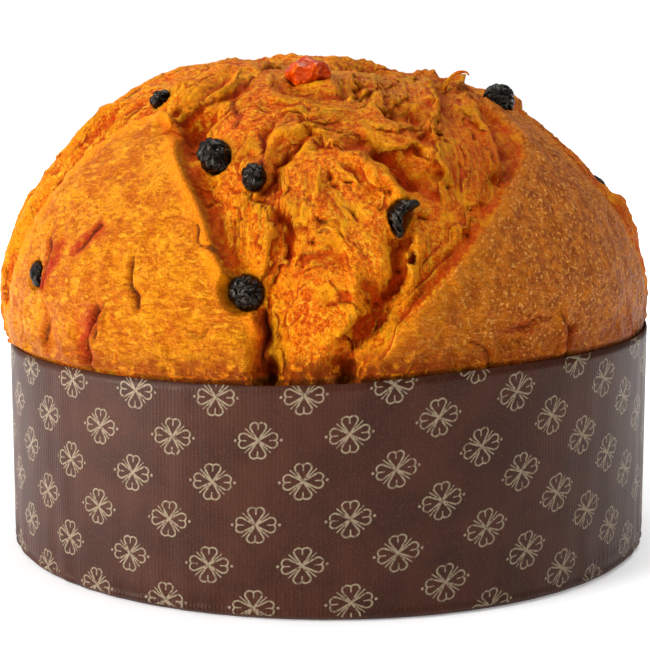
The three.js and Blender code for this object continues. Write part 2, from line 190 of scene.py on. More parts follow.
# Sharp lips of torn crust: points with the hollow on the right of travel, lip height, hollow depth, widths of
# both sides, and how red the hollow is and how much painted shade it gets.
FLAPS = [
    ([(1, -51.5), (6, -52.5), (9, -55), (12, -57), (14.5, -59), (16.5, -60)][::-1], 1.0, 1.6, 5, 7, 1.0),
    ([(-12.5, -61.5), (-11.5, -57.5), (-10, -54), (-8, -51), (-5, -49)], 0.9, 1.5, 4, 5, 0.7),
    ([(-5.5, -46), (-3, -48), (-0.5, -50.5), (1, -51.5)], 1.0, 1.2, 3, 3.5, 0.8),
    ([(-13.5, -52), (-12, -49.5), (-10.5, -46.5), (-8, -44), (-5.5, -43)][::-1], 0.9, 1.2, 3.5, 3, 0.6),
    ([(-19.5, -57), (-16, -59.5), (-12.5, -62), (-10.5, -63), (-9.5, -65)][::-1], 0.8, 0.9, 6, 3, 0.45),
    ([(-9.5, -65), (-9, -68), (-9.5, -71.5), (-11, -74), (-13, -75.5)][::-1], 0.9, 1.3, 5, 3, 0.6),
    ([(21, -62), (21.5, -57.5), (21, -52.5), (20.5, -46.5), (20, -39.5), (20, -31), (20, -16)][::-1],
     1.1, 1.3, 3, 5, 0.6),
    ([(21.5, -13.5), (22.5, -28), (21.5, -38.5), (21.5, -47.5)][::-1], 0.7, 0.9, 2, 3, 0.5),
    ([(27, -20.5), (30.5, -26.5), (34, -33), (35.5, -39.5), (34, -45.5), (31, -51.5)][::-1],
     1.0, 1.3, 3, 3.2, 0.55),
    ([(25.5, -30), (28.5, -37), (31.5, -42), (33, -46.5)][::-1], 0.5, 0.7, 2.5, 3, 0.3),
    ([(36.5, -38), (33, -47), (30, -54.5), (26.5, -61), (22.5, -67), (18.5, -73.5)], 0.5, 0.3, 2.5, 2, 0.1),
    ([(16, -65.5), (16.5, -68), (16.5, -71), (15.5, -75), (13, -78)], 1.0, 1.4, 3, 4.5, 0.9),
    ([(11, -71.5), (13.5, -69), (15.5, -67)], 0.6, 1.0, 3, 3, 0.7),
    ([(-1.5, -80), (0.5, -79), (4, -78.5), (6.5, -79), (7.5, -80), (6, -82.5)][::-1], 0.7, 0.9, 4, 2.5, 0.35),
    ([(-7, -73), (-5, -72), (-1.5, -71.5)][::-1], 0.6, 0.9, 4, 2.5, 0.5),
    ([(-9.5, -63.5), (-8, -65.5), (-5, -67), (-3, -67.5)], 0.5, 0.8, 3, 2.5, 0.5),
    ([(-0.5, -65.5), (1.5, -67), (3.5, -69.5), (6.5, -71)], 0.5, 0.7, 3, 2.5, 0.35),
    ([(-8.5, -41), (-4.5, -44), (0.5, -45.5), (3.5, -44.5)], 0.8, 1.0, 4, 3, 0.5),
    ([(6, -20), (5.5, -32), (6, -37.5), (6.5, -40.5)][::-1], 0.9, 1.0, 3, 3, 0.45),
    ([(-30.5, -38), (-28, -36), (-23, -34.5), (-18, -33), (-16, -27.5)], 1.0, 1.5, 4, 3.5, 0.8),
    ([(-34.5, -27), (-30, -29.5), (-24.5, -29), (-19.5, -29.5), (-15.5, -21.5)], 0.9, 1.2, 4, 3, 0.7),
    ([(-30, -39), (-27.5, -41), (-26.5, -44), (-24, -46)], 0.6, 1.2, 2, 3, 0.9),
    ([(7.5, -50.5), (11.5, -49), (15.5, -48.5), (18.5, -50), (20, -52)], 0.8, 1.4, 3.5, 5, 0.8),
    ([(6.5, -46), (10.5, -46.5), (14, -44.5), (17.5, -42.5), (19, -39)], 0.8, 0.7, 2.5, 2.5, 0.3),
    ([(0.5, -84.5), (3, -83.5), (6, -85), (7.5, -87.5), (8, -90)], 0.9, 1.4, 3, 4, 0.9),
    ([(-12.5, -82), (-12, -84), (-11, -87.5), (-12, -89.5)][::-1], 0.4, 0.8, 2.5, 2.5, 0.6),
    ([(8, -77.5), (11.5, -78.5), (13, -78)], 0.5, 1.0, 3, 2.5, 0.7),
    ([(-20.5, -71), (-17, -73), (-14, -74.5)][::-1], 0.4, 0.5, 3, 2, 0.3),
    ([(-14, -26), (-11.5, -18.5), (-7.5, -20.5)], 1.0, 0.8, 3, 3, 0.3),
    ([(25.5, -0.5), (26.5, -12), (27.5, -22.5)], 1.0, 0.9, 2.5, 3, 0.5),
    ([(13.6, -43.7), (10.3, -41.4), (6.5, -38)], 0.8, 1.1, 2.5, 3.5, 0.7),
    ([(5.7, -37.2), (8.1, -33.3), (10.9, -24.9)], 0.6, 0.6, 2, 2.5, 0.4),
    ([(8, -40.9), (11.2, -38.6), (13.8, -34.5), (15.7, -27.5)], 0.6, 0.9, 2, 3, 0.6),
    ([(2.4, -83.2), (5.5, -82.5), (7.6, -80.1), (7, -78)], 0.7, 0.7, 2, 2, 0.5),
    ([(27.5, -64.2), (22.8, -70.0), (18.2, -75.1), (13.4, -79.8)], 0.5, 0.5, 1.2, 1.6, 0.5),
    ([(25.6, -63.4), (21.7, -68.3), (18.6, -71.8)], 0.4, 0.4, 1.2, 1.4, 0.4),
    ([(22.3, -72.8), (17, -79.2), (12.3, -85), (9.9, -89)], 0.5, 0.4, 1.2, 1.4, 0.3),
]

# Cracks and scars of the lobes: points, lip height, depth (which also sets the painted shade in the gash),
# width, and how red they look.
SCARS = [
    ([(-50.5, -60.5), (-52.4, -63.6), (-55.4, -64.3), (-57.6, -65.3), (-61, -70), (-66, -77)],
     0.8, 3.2, 2.3, 1.0),
    ([(-48.5, -62), (-51.5, -64), (-52.4, -66), (-55.4, -67.1)], 0.6, 0.9, 1.2, 0.3),
    ([(-62.5, -47.5), (-66.8, -51.4), (-72, -54)], 0.4, 1.2, 1.3, 0.35),
    ([(-39.6, -59), (-41.5, -64.9), (-41.2, -70)], 0.7, 1.2, 1.6, 0.25),
    ([(-57.4, -39.5), (-58.8, -44.7), (-62.6, -47.1), (-65, -48.5)], 0.7, 1.2, 1.4, 0.8),
    ([(-45, -52), (-47.6, -50.4), (-50.2, -51), (-54, -50)], 0.3, 0.9, 1.6, 1.0),
    ([(-44.5, -51.2), (-49, -50.7), (-55.5, -49.8)], 0.0, 0.3, 2.2, 1.0),
    ([(-66.5, -45), (-62.2, -47.2), (-58.5, -46.8), (-55, -45)], 0.0, 0.4, 1.9, 1.0),
    ([(52, -64.4), (47.5, -67.8), (42.3, -72.6), (38.6, -76)], 0.6, 0.65, 1.2, 0.4),
    ([(52, -62), (56.6, -62.4), (59, -65.6), (57.5, -69.4)], 0.7, 0.8, 1.2, 0.2),
    ([(57.2, -60), (58.0, -63.4), (60, -67.5), (64, -74)], 1.0, 3.0, 2.4, 0.6),
    ([(30, -80), (36, -78.5), (41, -79.5)], 0.3, 0.7, 1.3, 0.2),
    ([(-33, -77), (-28, -79.5), (-22, -79)], 0.3, 0.6, 1.4, 0.2),
    ([(-15.0, -77), (-15.4, -80.5), (-15.9, -85), (-16, -90)], 0.0, 3.0, 1.6, 0.5),
    ([(-25.5, -61.5), (-24, -65.5), (-22.5, -69.5)], 0.0, 1.0, 1.2, 0.2),
    ([(-70, -40), (-76, -44), (-80, -46)], 0.4, 0.8, 1.4, 0.3),
    ([(74, -34), (78, -38), (82, -38)], 0.4, 0.8, 1.3, 0.3),
    ([(-11.9, -45.6), (-12.4, -50.6), (-12.2, -56)], 0.4, 0.9, 1.0, 0.9),
    ([(-17.9, -34.1), (-17.4, -40.5), (-17.7, -45.1)], 0.3, 0.7, 1.0, 0.8),
    ([(-6.8, -71.8), (-3.9, -70.7), (-0.7, -71.4)], 0.3, 0.5, 0.8, 0.4),
    ([(-7.3, -74.3), (-4.8, -72.9), (-1.5, -73.0), (1.0, -74.6)], 0.3, 0.4, 0.8, 0.3),
    ([(-7.0, -76.8), (-4.9, -75.1), (-1.5, -74.9), (1.4, -76.5), (2.3, -78.3)], 0.3, 0.4, 0.8, 0.3),
]

# A thin fibre of crust curling off the skyline: places in millimetres, and its radius at each.
CURL = [
    ((36.0, -26.4, 147.2), 0.9), ((37.7, -26.4, 150.3), 0.6), ((38.9, -26.2, 151.7), 0.45),
    ((41.1, -26.0, 152.6), 0.5), ((43.0, -26.2, 152.7), 0.35), ((44.0, -26.6, 151.7), 0.2),
]

# Tips of torn skin on the skyline: map point, radius, height.
TIPS = [
    ((-33, 2), 1.6, 1.1), ((-29.5, 1), 1.0, 0.9), ((-19.5, 3), 1.1, 1.0), ((-15.5, 4), 0.9, 1.3),
    ((6, 4), 1.6, 0.9), ((23.5, 1), 1.3, 1.2), ((27.5, 1), 0.8, 1.6), ((43, -2), 1.0, 0.9),
    ((48, -6), 0.9, 1.2), ((53, -6), 1.1, 0.8),
]

# Holes in the crumb: map points.
PITS = [
    (-26, -55.5), (-24.5, -58), (-22.5, -55), (-18.5, -63), (12.5, -74.5), (11, -77), (11, -60.5),
    (18.5, -63.5), (29, -57.5), (32.5, -51), (35, -48), (3.5, -60), (5, -64.5), (1.5, -59.5), (0.5, -58),
    (25, -49), (29.5, -38), (-12.5, -62), (29, -62.5), (15, -72.5), (-1, -66), (-2.5, -68.5), (24, -55),
    (-6, -45),
]

# Fruit of the source: name, map point, three diameters, rise, turn, bend.
FRUIT = [
    ("raisin_1", (-21.9, -49.3), (10, 13, 9), 1.5, 25, 0),
    ("raisin_2", (-14, -56.7), (8, 9.5, 7.5), 1.5, 10, 0),
    ("raisin_3", (-17.7, -75.2), (10.5, 11.5, 8.5), -0.5, 40, 0),
    ("raisin_4", (14.6, -64), (6.4, 12, 6), 0.8, -28, 0.9),
    ("raisin_5", (34.7, -17), (11.5, 10, 9), 2.5, 60, 0),
    ("raisin_6", (-32.6, -24.6), (7, 5, 5.5), 0.2, 0, 0),
    ("raisin_7", (-64.6, -43.1), (6, 9, 6), -1.6, 15, 0),
    ("raisin_8", (-2, 47), (10, 12, 8.5), 1, 70, 0),
    ("raisin_9", (10, 66), (9, 11, 8), 1, 20, 0),
    ("raisin_10", (-52, 44), (8, 10, 6.5), -0.6, 45, 0),
    ("raisin_11", (64, 10), (9, 10.5, 8), -0.4, 75, 0),
    ("peel_1", (-3.9, -28.1), (15, 11.5, 10.5), 1, 4, 0),
    ("peel_2", (5, 30), (12, 10, 8), 1, 30, 0),
]


# Form functions

def smooth_value(values, before, index):
    values = np.array(values, float)
    start = np.minimum(np.floor(index).astype(int), len(values) - 2)
    t = index - start
    a = np.where(start == 0, before, values[np.maximum(start - 1, 0)])
    b = values[start]
    c = values[start + 1]
    d = values[np.minimum(start + 2, len(values) - 1)]
    return b + 0.5 * t * (c - a + t * (2 * a - 5 * b + 4 * c - d + t * (3 * (b - c) + d - a)))


def dome_radius(polar, azimuth):
    index = np.degrees(polar) / PROFILE_STEP
    left = smooth_value(LEFT_PROFILE, RIGHT_PROFILE[1], index)
    right = smooth_value(RIGHT_PROFILE, LEFT_PROFILE[1], index)
    return left + (right - left) * (1 + np.cos(azimuth)) / 2


def outward(polar, azimuth):
    return np.stack([np.sin(polar) * np.cos(azimuth), np.sin(polar) * np.sin(azimuth), np.cos(polar)], -1)


def crust_point(polar, azimuth, rise=0.0):
    radius = dome_radius(polar, azimuth) + rise
    return outward(polar, azimuth) * radius[..., None] + np.array([0, 0, DOME_CENTRE_Z])


def rim_height(azimuth):
    crossing = np.sin(azimuth + math.radians(RIM_WAVE_TURN))
    return RIM_HEIGHT + RIM_WAVE * np.tanh(RIM_WAVE_SHARPNESS * crossing)


def polar_of(flat):
    flat = np.asarray(flat, float)
    return np.radians(np.hypot(flat[..., 0], flat[..., 1])), np.arctan2(flat[..., 1], flat[..., 0])


def map_of(polar, azimuth):
    return np.degrees(polar)[:, None] * np.stack([np.cos(azimuth), np.sin(azimuth)], -1)


def bell(distance, width):
    return np.exp(-((distance / width) ** 2))


def pull(weight, heading):
    """Tensors that say which way the crust is drawn, and how strongly."""
    return weight[:, None, None] * heading[:, :, None] * heading[:, None, :]


def smooth_line(points, closed, each=4):
    """Centripetal curve through map points, with that many pieces a point."""
    pts = [np.array(p, float) for p in points]
    size = len(pts)
    out = []
    for k in range(each * size + 1):
        place = (size - (0 if closed else 1)) * k / (each * size)
        i = int(place)
        if not closed and i == size - 1:
            i = size - 2
        w = place - i
        p1 = pts[i % size]
        p2 = pts[(i + 1) % size]
        p0 = pts[(i - 1) % size] if closed or i > 0 else 2 * pts[0] - pts[1]
        p3 = pts[(i + 2) % size] if closed or i + 2 < size else 2 * pts[-1] - pts[-2]
        d0, d1, d2 = (max(np.linalg.norm(b - a), 1e-6) ** 0.5 for a, b in ((p0, p1), (p1, p2), (p2, p3)))
        t1 = ((p1 - p0) / d0 - (p2 - p0) / (d0 + d1) + (p2 - p1) / d1) * d1
        t2 = ((p2 - p1) / d1 - (p3 - p1) / (d1 + d2) + (p3 - p2) / d2) * d1
        out.append(p1 + t1 * w + (3 * (p2 - p1) - 2 * t1 - t2) * w**2 + (2 * (p1 - p2) + t1 + t2) * w**3)
    return np.array(out)


def nearest(flat_line, flat, place, reach=np.inf):
    """For every place: distance to the line, share along it, side (1 on the right), and its direction."""
    line = crust_point(*polar_of(flat_line))
    middle = line.mean(0)
    span = np.linalg.norm(line - middle, axis=1).max() + reach
    near = np.where(((place - middle) ** 2).sum(1) < span**2)[0]
    spots, maps = place[near], flat[near]
    best = np.full(len(place), np.inf)
    along = np.zeros(len(place))
    side = np.ones(len(place))
    heading = np.zeros((len(place), 3))
    for i in range(len(line) - 1):
        step = line[i + 1] - line[i]
        share = np.clip(((spots - line[i]) @ step) / max(step @ step, 1e-9), 0, 1)
        gap = np.sqrt(((spots - line[i] - share[:, None] * step) ** 2).sum(1))
        closer = gap < best[near]
        hit = near[closer]
        best[hit] = gap[closer]
        along[hit] = (i + share[closer]) / (len(line) - 1)
        drawn = flat_line[i + 1] - flat_line[i]
        off = maps[closer] - flat_line[i]
        side[hit] = np.where(drawn[0] * off[:, 1] - drawn[1] * off[:, 0] < 0, 1.0, -1.0)
        heading[hit] = step / max(np.linalg.norm(step), 1e-9)
    return best, along, side, heading


def inside_outline(outline, flat):
    inside = np.zeros(len(flat), bool)
    for a, b in zip(outline, np.roll(outline, 1, axis=0)):
        if a[1] == b[1]:
            continue
        crosses = (a[1] > flat[:, 1]) != (b[1] > flat[:, 1])
        where = a[0] + (flat[:, 1] - a[1]) / (b[1] - a[1]) * (b[0] - a[0])
        inside ^= crosses & (flat[:, 0] < where)
    return inside


def smoothstep(low, high, value):
    t = np.clip((value - low) / (high - low), 0, 1)
    return t * t * (3 - 2 * t)


def tapered(along, share):
    """Falls to nothing over that share of a line at both of its ends."""
    return smoothstep(0, share, along) * smoothstep(0, share, 1 - along)


def waves(place, low, high, count, seed):
    """An even random field of waves between two lengths, with a spread of about one."""
    rng = np.random.default_rng(seed)
    total = np.zeros(len(place))
    for _ in range(count):
        way = rng.normal(size=3)
        way /= np.linalg.norm(way)
        length = low * (high / low) ** rng.random()
        total += np.cos(place @ way * (2 * math.pi / length) + rng.random() * 2 * math.pi)
    return total * math.sqrt(2 / count)


def swell(place):
    x, y, z = place.T
    slow = np.sin(x / 17 + 1.3) * np.sin(y / 21 - 0.4) + np.sin(z / 15 + x / 29)
    quick = np.sin(x / 8.3 - z / 11) * np.sin(y / 9.1 + z / 7.7 + 2)
    return SWELL * (slow + 0.6 * quick)


def plain_rise(polar, azimuth):
    """Height of the source's crust over the plain dome."""
    at = map_of(polar, azimuth), crust_point(polar, azimuth)
    rise = lobe_relief(*at, SOURCE_VALLEY_WALL, SOURCE_EDGE_CURL)[0]
    for points, width, lift in FOLDS:
        rise += fold_relief(*at, points, width, lift)[0]
    return rise + swell(at[1])


def lobe_relief(flat, place, valley_wall, curl):
    """Rise by lobes and valleys, whether the crust is torn, distance to the nearest edge, and its pull."""
    rise = np.zeros(len(place))
    drop = np.zeros(len(place))
    lifted = np.zeros(len(place))
    torn = np.ones(len(place), bool)
    edge = np.full(len(place), np.inf)
    tensor = np.zeros((len(place), 3, 3))
    for lobe in LOBES:
        outline = smooth_line(lobe["outline"], True)
        distance, _, _, heading = nearest(outline, flat, place)
        inside = inside_outline(outline, flat) & torn
        rise[inside] = lobe["lip"] * np.exp(-distance[inside] / LIP_WIDTH)
        torn &= ~inside
        wall = 1 - np.exp(-distance / valley_wall)
        drop = np.maximum(drop, lobe["valley"] * wall * np.exp(-distance / lobe["reach"]))
        lifted = np.maximum(lifted, lobe["lip"] * bell(distance, curl))
        edge = np.minimum(edge, distance)
        tensor += pull(np.exp(-distance / 5), heading)
    rise[torn] = (lifted - drop)[torn]
    return rise, torn, edge, tensor


def fold_relief(flat, place, points, width, lift):
    distance, along, _, heading = nearest(smooth_line(points, False), flat, place, reach=4 * width + 12)
    fade = 0.35 + 0.65 * np.minimum(1, np.minimum(along, 1 - along) / 0.18)
    return lift * fade * bell(distance, width), distance, heading


def wandering(polar, azimuth, place, quick):
    """Map points and places moved a little along the crust, so that drawn lines wander."""
    slow = 0.7
    shift = np.stack([
        quick * waves(place, 2.6, 5, 50, 41 + axis) + slow * waves(place, 7, 16, 40, 51 + axis)
        for axis in range(3)
    ], -1)
    out = outward(polar, azimuth)
    shift -= out * (shift * out).sum(1, keepdims=True)
    moved = place + shift
    aim = moved - np.array([0, 0, DOME_CENTRE_Z])
    new_polar = np.arctan2(np.hypot(aim[:, 0], aim[:, 1]), aim[:, 2])
    return map_of(new_polar, np.arctan2(aim[:, 1], aim[:, 0])), moved


# Mesh helpers

def level_ring(count):
    """Angles round the axis, from the front, closer together there."""
    t = np.arange(count) / count
    return -math.pi / 2 + 2 * math.pi * t - CROWDING * np.sin(2 * math.pi * t)


def stitched(sizes):
    """Triangles of a closed skin: a top point, rings of these sizes, and a bottom point."""
    faces = []
    upper = 1
    for j in range(sizes[0]):
        faces.append((0, upper + j, upper + (j + 1) % sizes[0]))
    for above, below in zip(sizes, sizes[1:]):
        lower = upper + above
        i = j = 0
        while i < above or j < below:
            a = upper + i % above
            b = lower + j % below
            if j >= below or (i < above and (i + 1) * below <= (j + 1) * above):
                i += 1
                faces.append((a, b, upper + i % above))
            else:
                j += 1
                faces.append((a, b, lower + j % below))
        upper = lower
    bottom = upper + sizes[-1]
    for j in range(sizes[-1]):
        faces.append((bottom, upper + (j + 1) % sizes[-1], upper + j))
    return np.array(faces)


def edges_of(faces):
    pairs = np.concatenate([faces[:, [0, 1]], faces[:, [1, 2]], faces[:, [2, 0]]])
    pairs.sort(axis=1)
    return np.unique(pairs, axis=0)


def spread(values, edges, weights, rounds):
    """Averages values along the mesh's edges, round by round."""
    a, b = edges.T
    count = len(values)
    total = 1 + np.bincount(a, weights, count) + np.bincount(b, weights, count)
    for _ in range(rounds):
        gained = np.bincount(a, weights * values[b], count) + np.bincount(b, weights * values[a], count)
        values = (values + gained) / total
    return values


def mesh_object(name, points, groups, material, attributes, sheet=None):
    """A smooth piece: points in millimetres, groups of faces, values of its points, and its sheet's UV."""
    corners = np.concatenate([faces.ravel() for faces in groups]).astype(np.int32)
    totals = np.concatenate([np.full(len(faces), faces.shape[1]) for faces in groups]).astype(np.int32)
    mesh = bpy.data.meshes.new(name)
    mesh.vertices.add(len(points))
    mesh.vertices.foreach_set("co", (np.asarray(points) * MM).astype(np.float32).ravel())
    mesh.loops.add(len(corners))
    mesh.loops.foreach_set("vertex_index", corners)
    mesh.polygons.add(len(totals))
    mesh.polygons.foreach_set("loop_start", (np.cumsum(totals) - totals).astype(np.int32))
    mesh.polygons.foreach_set("loop_total", totals)
    mesh.polygons.foreach_set("use_smooth", np.ones(len(totals), bool))
    mesh.update()
    mesh.validate()
    if sheet is not None:
        mesh.uv_layers.new(name="sheet").data.foreach_set("uv", sheet.astype(np.float32).ravel())
    for key, values in attributes.items():
        layer = mesh.attributes.new(key, "FLOAT", "POINT")
        layer.data.foreach_set("value", np.asarray(values, np.float32))
    mesh.materials.append(material)
    piece = bpy.data.objects.new(name, mesh)
    bpy.context.collection.objects.link(piece)
    return piece


# Bread

def fruit_frame(item):
    """Middle and axes of a piece of fruit, as the source places it."""
    _, at, _, rise, turn, _ = item
    polar, azimuth = polar_of(np.array([at]))
    height = plain_rise(polar, azimuth) + rise
    middle = crust_point(polar, azimuth, height)[0]
    out = outward(polar, azimuth)[0]
    across = np.array([1.0, 0, 0]) - out * out[0]
    across /= np.linalg.norm(across)
    along = np.cross(out, across)
    c, s = math.cos(math.radians(turn)), math.sin(math.radians(turn))
    return middle, np.stack([c * across + s * along, c * along - s * across, out])


def snug(name):
    """The wrinkled raisins sit a little inside the source's plain ones."""
    return {"raisin_1": 0.95, "raisin_2": 0.88, "raisin_3": 0.9, "peel_1": 0.88}.get(name, 1.0)


def torn_edges(place, flat, tensor, allowed, count, rng):
    """Short lips of torn crust that run along the stretched strands."""
    stride = 1.7
    found = []
    for where in rng.choice(np.where(allowed)[0], count, replace=False):
        points = [flat[where]]
        way = None
        for _ in range(rng.integers(4, 9)):
            _, axes = np.linalg.eigh(tensor[where])
            along = axes[:, -1]
            if way is not None and along @ way < 0:
                along = -along
            way = along if way is None else 0.5 * way + 0.5 * along
            where = ((place - place[where] - stride * way / np.linalg.norm(way)) ** 2).sum(1).argmin()
            if not allowed[where]:
                break
            points.append(flat[where])
        if len(points) < 4:
            continue
        size = rng.random()
        if rng.random() < 0.5:
            points.reverse()
        redness = 0.25 + 0.45 * rng.random()
        found.append((points, 0.25 + 0.3 * size, 0.3 + 0.45 * size, 1 + size, 0.9 + 0.9 * size, redness))
    return found


class Crust:
    """The bread's skin while it is shaped: its grid, its rise, and what the material reads."""

    def __init__(self):
        steps = round(GRID_ARC / RING_STEP)
        polars, azimuths, self.sizes = [np.zeros(1)], [np.zeros(1)], []
        for i in range(1, steps + 1):
            count = max(6, round(2 * math.pi * GRID_RADIUS * math.sin(i / steps * math.pi / 2) / SPACING))
            ring = level_ring(count)
            azimuths.append(ring)
            polars.append(i / steps * np.arccos((rim_height(ring) + COLLAR - DOME_CENTRE_Z) / CASE_RADIUS))
            self.sizes.append(count)
        self.polar = np.concatenate(polars)
        self.azimuth = np.concatenate(azimuths)
        self.place = crust_point(self.polar, self.azimuth)
        self.flat = map_of(self.polar, self.azimuth)
        self.uneven = wandering(self.polar, self.azimuth, self.place, 0.42)
        self.calm = wandering(self.polar, self.azimuth, self.place, 0.08)
        faces = stitched(self.sizes)
        self.edges = edges_of(faces[(faces < len(self.place)).all(axis=1)])
        self.even = np.full(len(self.edges), EVEN_PULL)

    def blank(self, value=0.0):
        return np.full(len(self.place), value)

    def gap_to(self, at):
        """Squared distance of every moved place to a map point."""
        return ((self.uneven[1] - crust_point(*polar_of(np.array([at])))[0]) ** 2).sum(1)

    def add_lobes_and_folds(self):
        self.rise, torn, edge, self.tensor = lobe_relief(self.flat, self.place, VALLEY_WALL, EDGE_CURL)
        self.edge = edge
        self.is_torn = torn
        self.margin = np.where(torn, edge, -edge)
        self.torn = np.where(torn, smoothstep(0, TORN_FADE, edge), 0)
        self.red = self.blank()
        for points, width, lift in FOLDS:
            part, distance, heading = fold_relief(*self.calm, points, width, lift)
            self.rise += part
            # Folds that sink far get red colour with painted shade along them.
            if lift < RED_FOLD:
                self.red = np.maximum(self.red, min(1, -lift / 5) * bell(distance, width * 0.75))
            self.tensor += pull(bell(np.minimum(distance, 40), FOLD_PULL_WIDTH), heading)

    def add_lips(self, rng):
        """Lips read from the photo, and small ones along the stretch of the dough."""
        hub_way = self.place - self.place[0]
        hub_way /= np.maximum(np.linalg.norm(hub_way, axis=1, keepdims=True), 1e-9)
        stretch = self.tensor + pull(self.blank(0.1), hub_way)
        for points, *_ in FLAPS:
            distance, _, _, heading = nearest(smooth_line(points, False), self.flat, self.place, reach=25)
            stretch += pull(LIP_PULL * bell(np.minimum(distance, FAR), LIP_PULL_WIDTH), heading)
        allowed = self.is_torn & (self.edge > 2.5)
        small = torn_edges(self.place, self.flat, stretch, allowed, SMALL_LIPS, rng)
        strength = 0.8 + 0.3 * np.clip(waves(self.place, 4, 9, 40, 21), -1.5, 1.5)
        self.flap = self.blank(6.0)
        for points, up, down, lip_side, hollow_side, redness in FLAPS + small:
            at = self.calm if lip_side < THIN_LIP else self.uneven
            distance, along, side, heading = nearest(smooth_line(points, False, 6), *at, reach=25)
            distance = np.minimum(distance, FAR)
            signed = distance * side
            taper = tapered(along, LIP_TAPER)
            fade = taper * strength
            hollow = smoothstep(-0.5, 0.5, signed)
            lifted = (1 - hollow) * LIP_GAIN * up * np.exp(-distance / lip_side)
            sunk = hollow * HOLLOW_GAIN * down * np.exp(-distance / hollow_side)
            self.rise += fade * (lifted - sunk)
            # Red colour and painted shade in the hollow beside the lip.
            hollow_red_and_shade = fade * hollow * redness * np.exp(-distance / (0.8 * hollow_side))
            self.red = np.maximum(self.red, hollow_red_and_shade)
            closer = (distance < np.abs(self.flap)) & (taper > 0.02)
            self.flap[closer] = (signed + np.sign(signed) * 2.5 * (1 - taper))[closer]
            self.tensor += pull(LIP_PULL * bell(distance, LIP_PULL_WIDTH), heading)

    def add_scars(self):
        self.gash_shade = self.blank()
        self.scar_red = self.blank()
        for points, up, down, width, redness in SCARS:
            distance, along, _, _ = nearest(smooth_line(points, False, 6), *self.calm, reach=20)
            distance = np.minimum(distance, FAR)
            taper = tapered(along, SCAR_TAPER)
            gash = bell(distance, 0.45 * width)
            self.rise += taper * (up * bell(distance - 1.1 * width, width) - down * gash)
            # Painted shade in the gash, darker where the gash sinks more.
            self.gash_shade = np.maximum(self.gash_shade, taper * gash * min(1, down))
            patch = np.exp(-((distance / (1.3 * width)) ** 4))
            self.scar_red = np.maximum(self.scar_red, taper * redness * patch)
        self.rise += swell(self.place)

    def add_strands(self, rng):
        """Stretched strands and sheets of the torn crust, which follow the nearest folds."""
        starts, ends = self.edges.T
        plain = crust_point(self.polar, self.azimuth, self.rise)
        step = plain[ends] - plain[starts]
        step /= np.maximum(np.linalg.norm(step, axis=1, keepdims=True), 1e-9)
        level = np.cos(self.polar)
        downhill = [level * np.cos(self.azimuth), level * np.sin(self.azimuth), -np.sin(self.polar)]
        self.tensor += pull(self.blank(0.08), np.stack(downhill, -1))
        both = self.tensor[starts] + self.tensor[ends]
        match = np.einsum("ni,nij,nj->n", step, both, step) / np.maximum(np.einsum("nii->n", both), 1e-9)
        follow = np.clip(match, 0, 1) ** 5 * 3 + 0.004

        def drawn(values, rounds, relax):
            values = spread(values, self.edges, follow, rounds)
            if relax:
                values -= spread(values, self.edges, self.even, relax)
            return values / values.std()

        self.fibre = drawn(rng.normal(size=len(self.place)), 14, 6)
        self.strand = drawn(waves(self.place, 3.0, 5.5, 60, 4), 130, 60)
        self.sheet = drawn(waves(self.place, 5, 9, 60, 14), 120, 0)
        raised = np.clip(drawn(waves(self.place, 7, 14, 60, 5), 110, 260), -1.6, 1.6)
        crease = np.clip(1 - np.abs(self.strand) * 1.3, -0.5, 1)
        zone = self.torn * (0.2 + 0.8 * smoothstep(0, 8, self.edge))
        fine = FIBRE_RISE * self.fibre + STRAND_RISE * self.strand
        self.rise += zone * (fine + CREASE_RISE * crease + SHEET_RISE * raised)

    def add_skin(self):
        """Fine blisters of the lobes, a crumpled band above the rim, and crags of the hub and its arms."""
        place = self.place
        self.band = np.exp(-np.maximum(place[:, 2] - rim_height(self.azimuth), 0) / BAND_REACH)
        blisters = BLISTER_RISE * waves(place, 1.6, 3.2, 70, 6) + DIMPLE_RISE * waves(place, 5, 11, 60, 7)
        self.rise += (1 - self.torn) * blisters + self.band * BAND_RISE * waves(place, 2.2, 5, 60, 8)
        x, y = self.flat.T
        hub = self.torn * smoothstep(26, 12, np.abs(y + 2)) * smoothstep(6, 14, np.hypot(x, y + 30))
        crags = CRAG_RISE * waves(place, 4, 9, 60, 9)
        self.rise += hub * (crags + SMALL_CRAG_RISE * waves(place, 1.8, 3.2, 60, 10))

    def add_pits_and_tips(self, rng):
        """Holes in the crumb and ragged tips of torn skin."""
        pits = [(at, 0.75 + 0.5 * rng.random(), 1.5) for at in PITS]
        for _ in range(SMALL_PITS):
            far = 95 * math.sqrt(rng.random())
            turn = rng.random() * 2 * math.pi
            at = (far * math.cos(turn), far * math.sin(turn))
            pits.append((at, 0.3 + 0.4 * rng.random() ** 2, 0.5))
        # How far into a hole each place lies: the material paints shade there.
        self.pit_shade = self.blank()
        for at, radius, depth in pits:
            gap = self.gap_to(at)
            near = gap < (4 * radius) ** 2
            well = np.exp(-gap[near] / radius**2)
            self.rise[near] -= depth * well * (0.25 + 0.75 * self.torn[near])
            self.pit_shade[near] = np.maximum(self.pit_shade[near], well * (0.15 + 0.85 * self.torn[near]))
        tips = list(TIPS)
        for _ in range(SMALL_TIPS):
            at = (-45 + 95 * rng.random(), -12 + 16 * rng.random())
            tips.append((at, 0.7 + 0.7 * rng.random(), 0.2 + 0.7 * rng.random() ** 2))
        for at, radius, lift in tips:
            self.rise += self.torn * lift * np.exp(-self.gap_to(at) / radius**2)

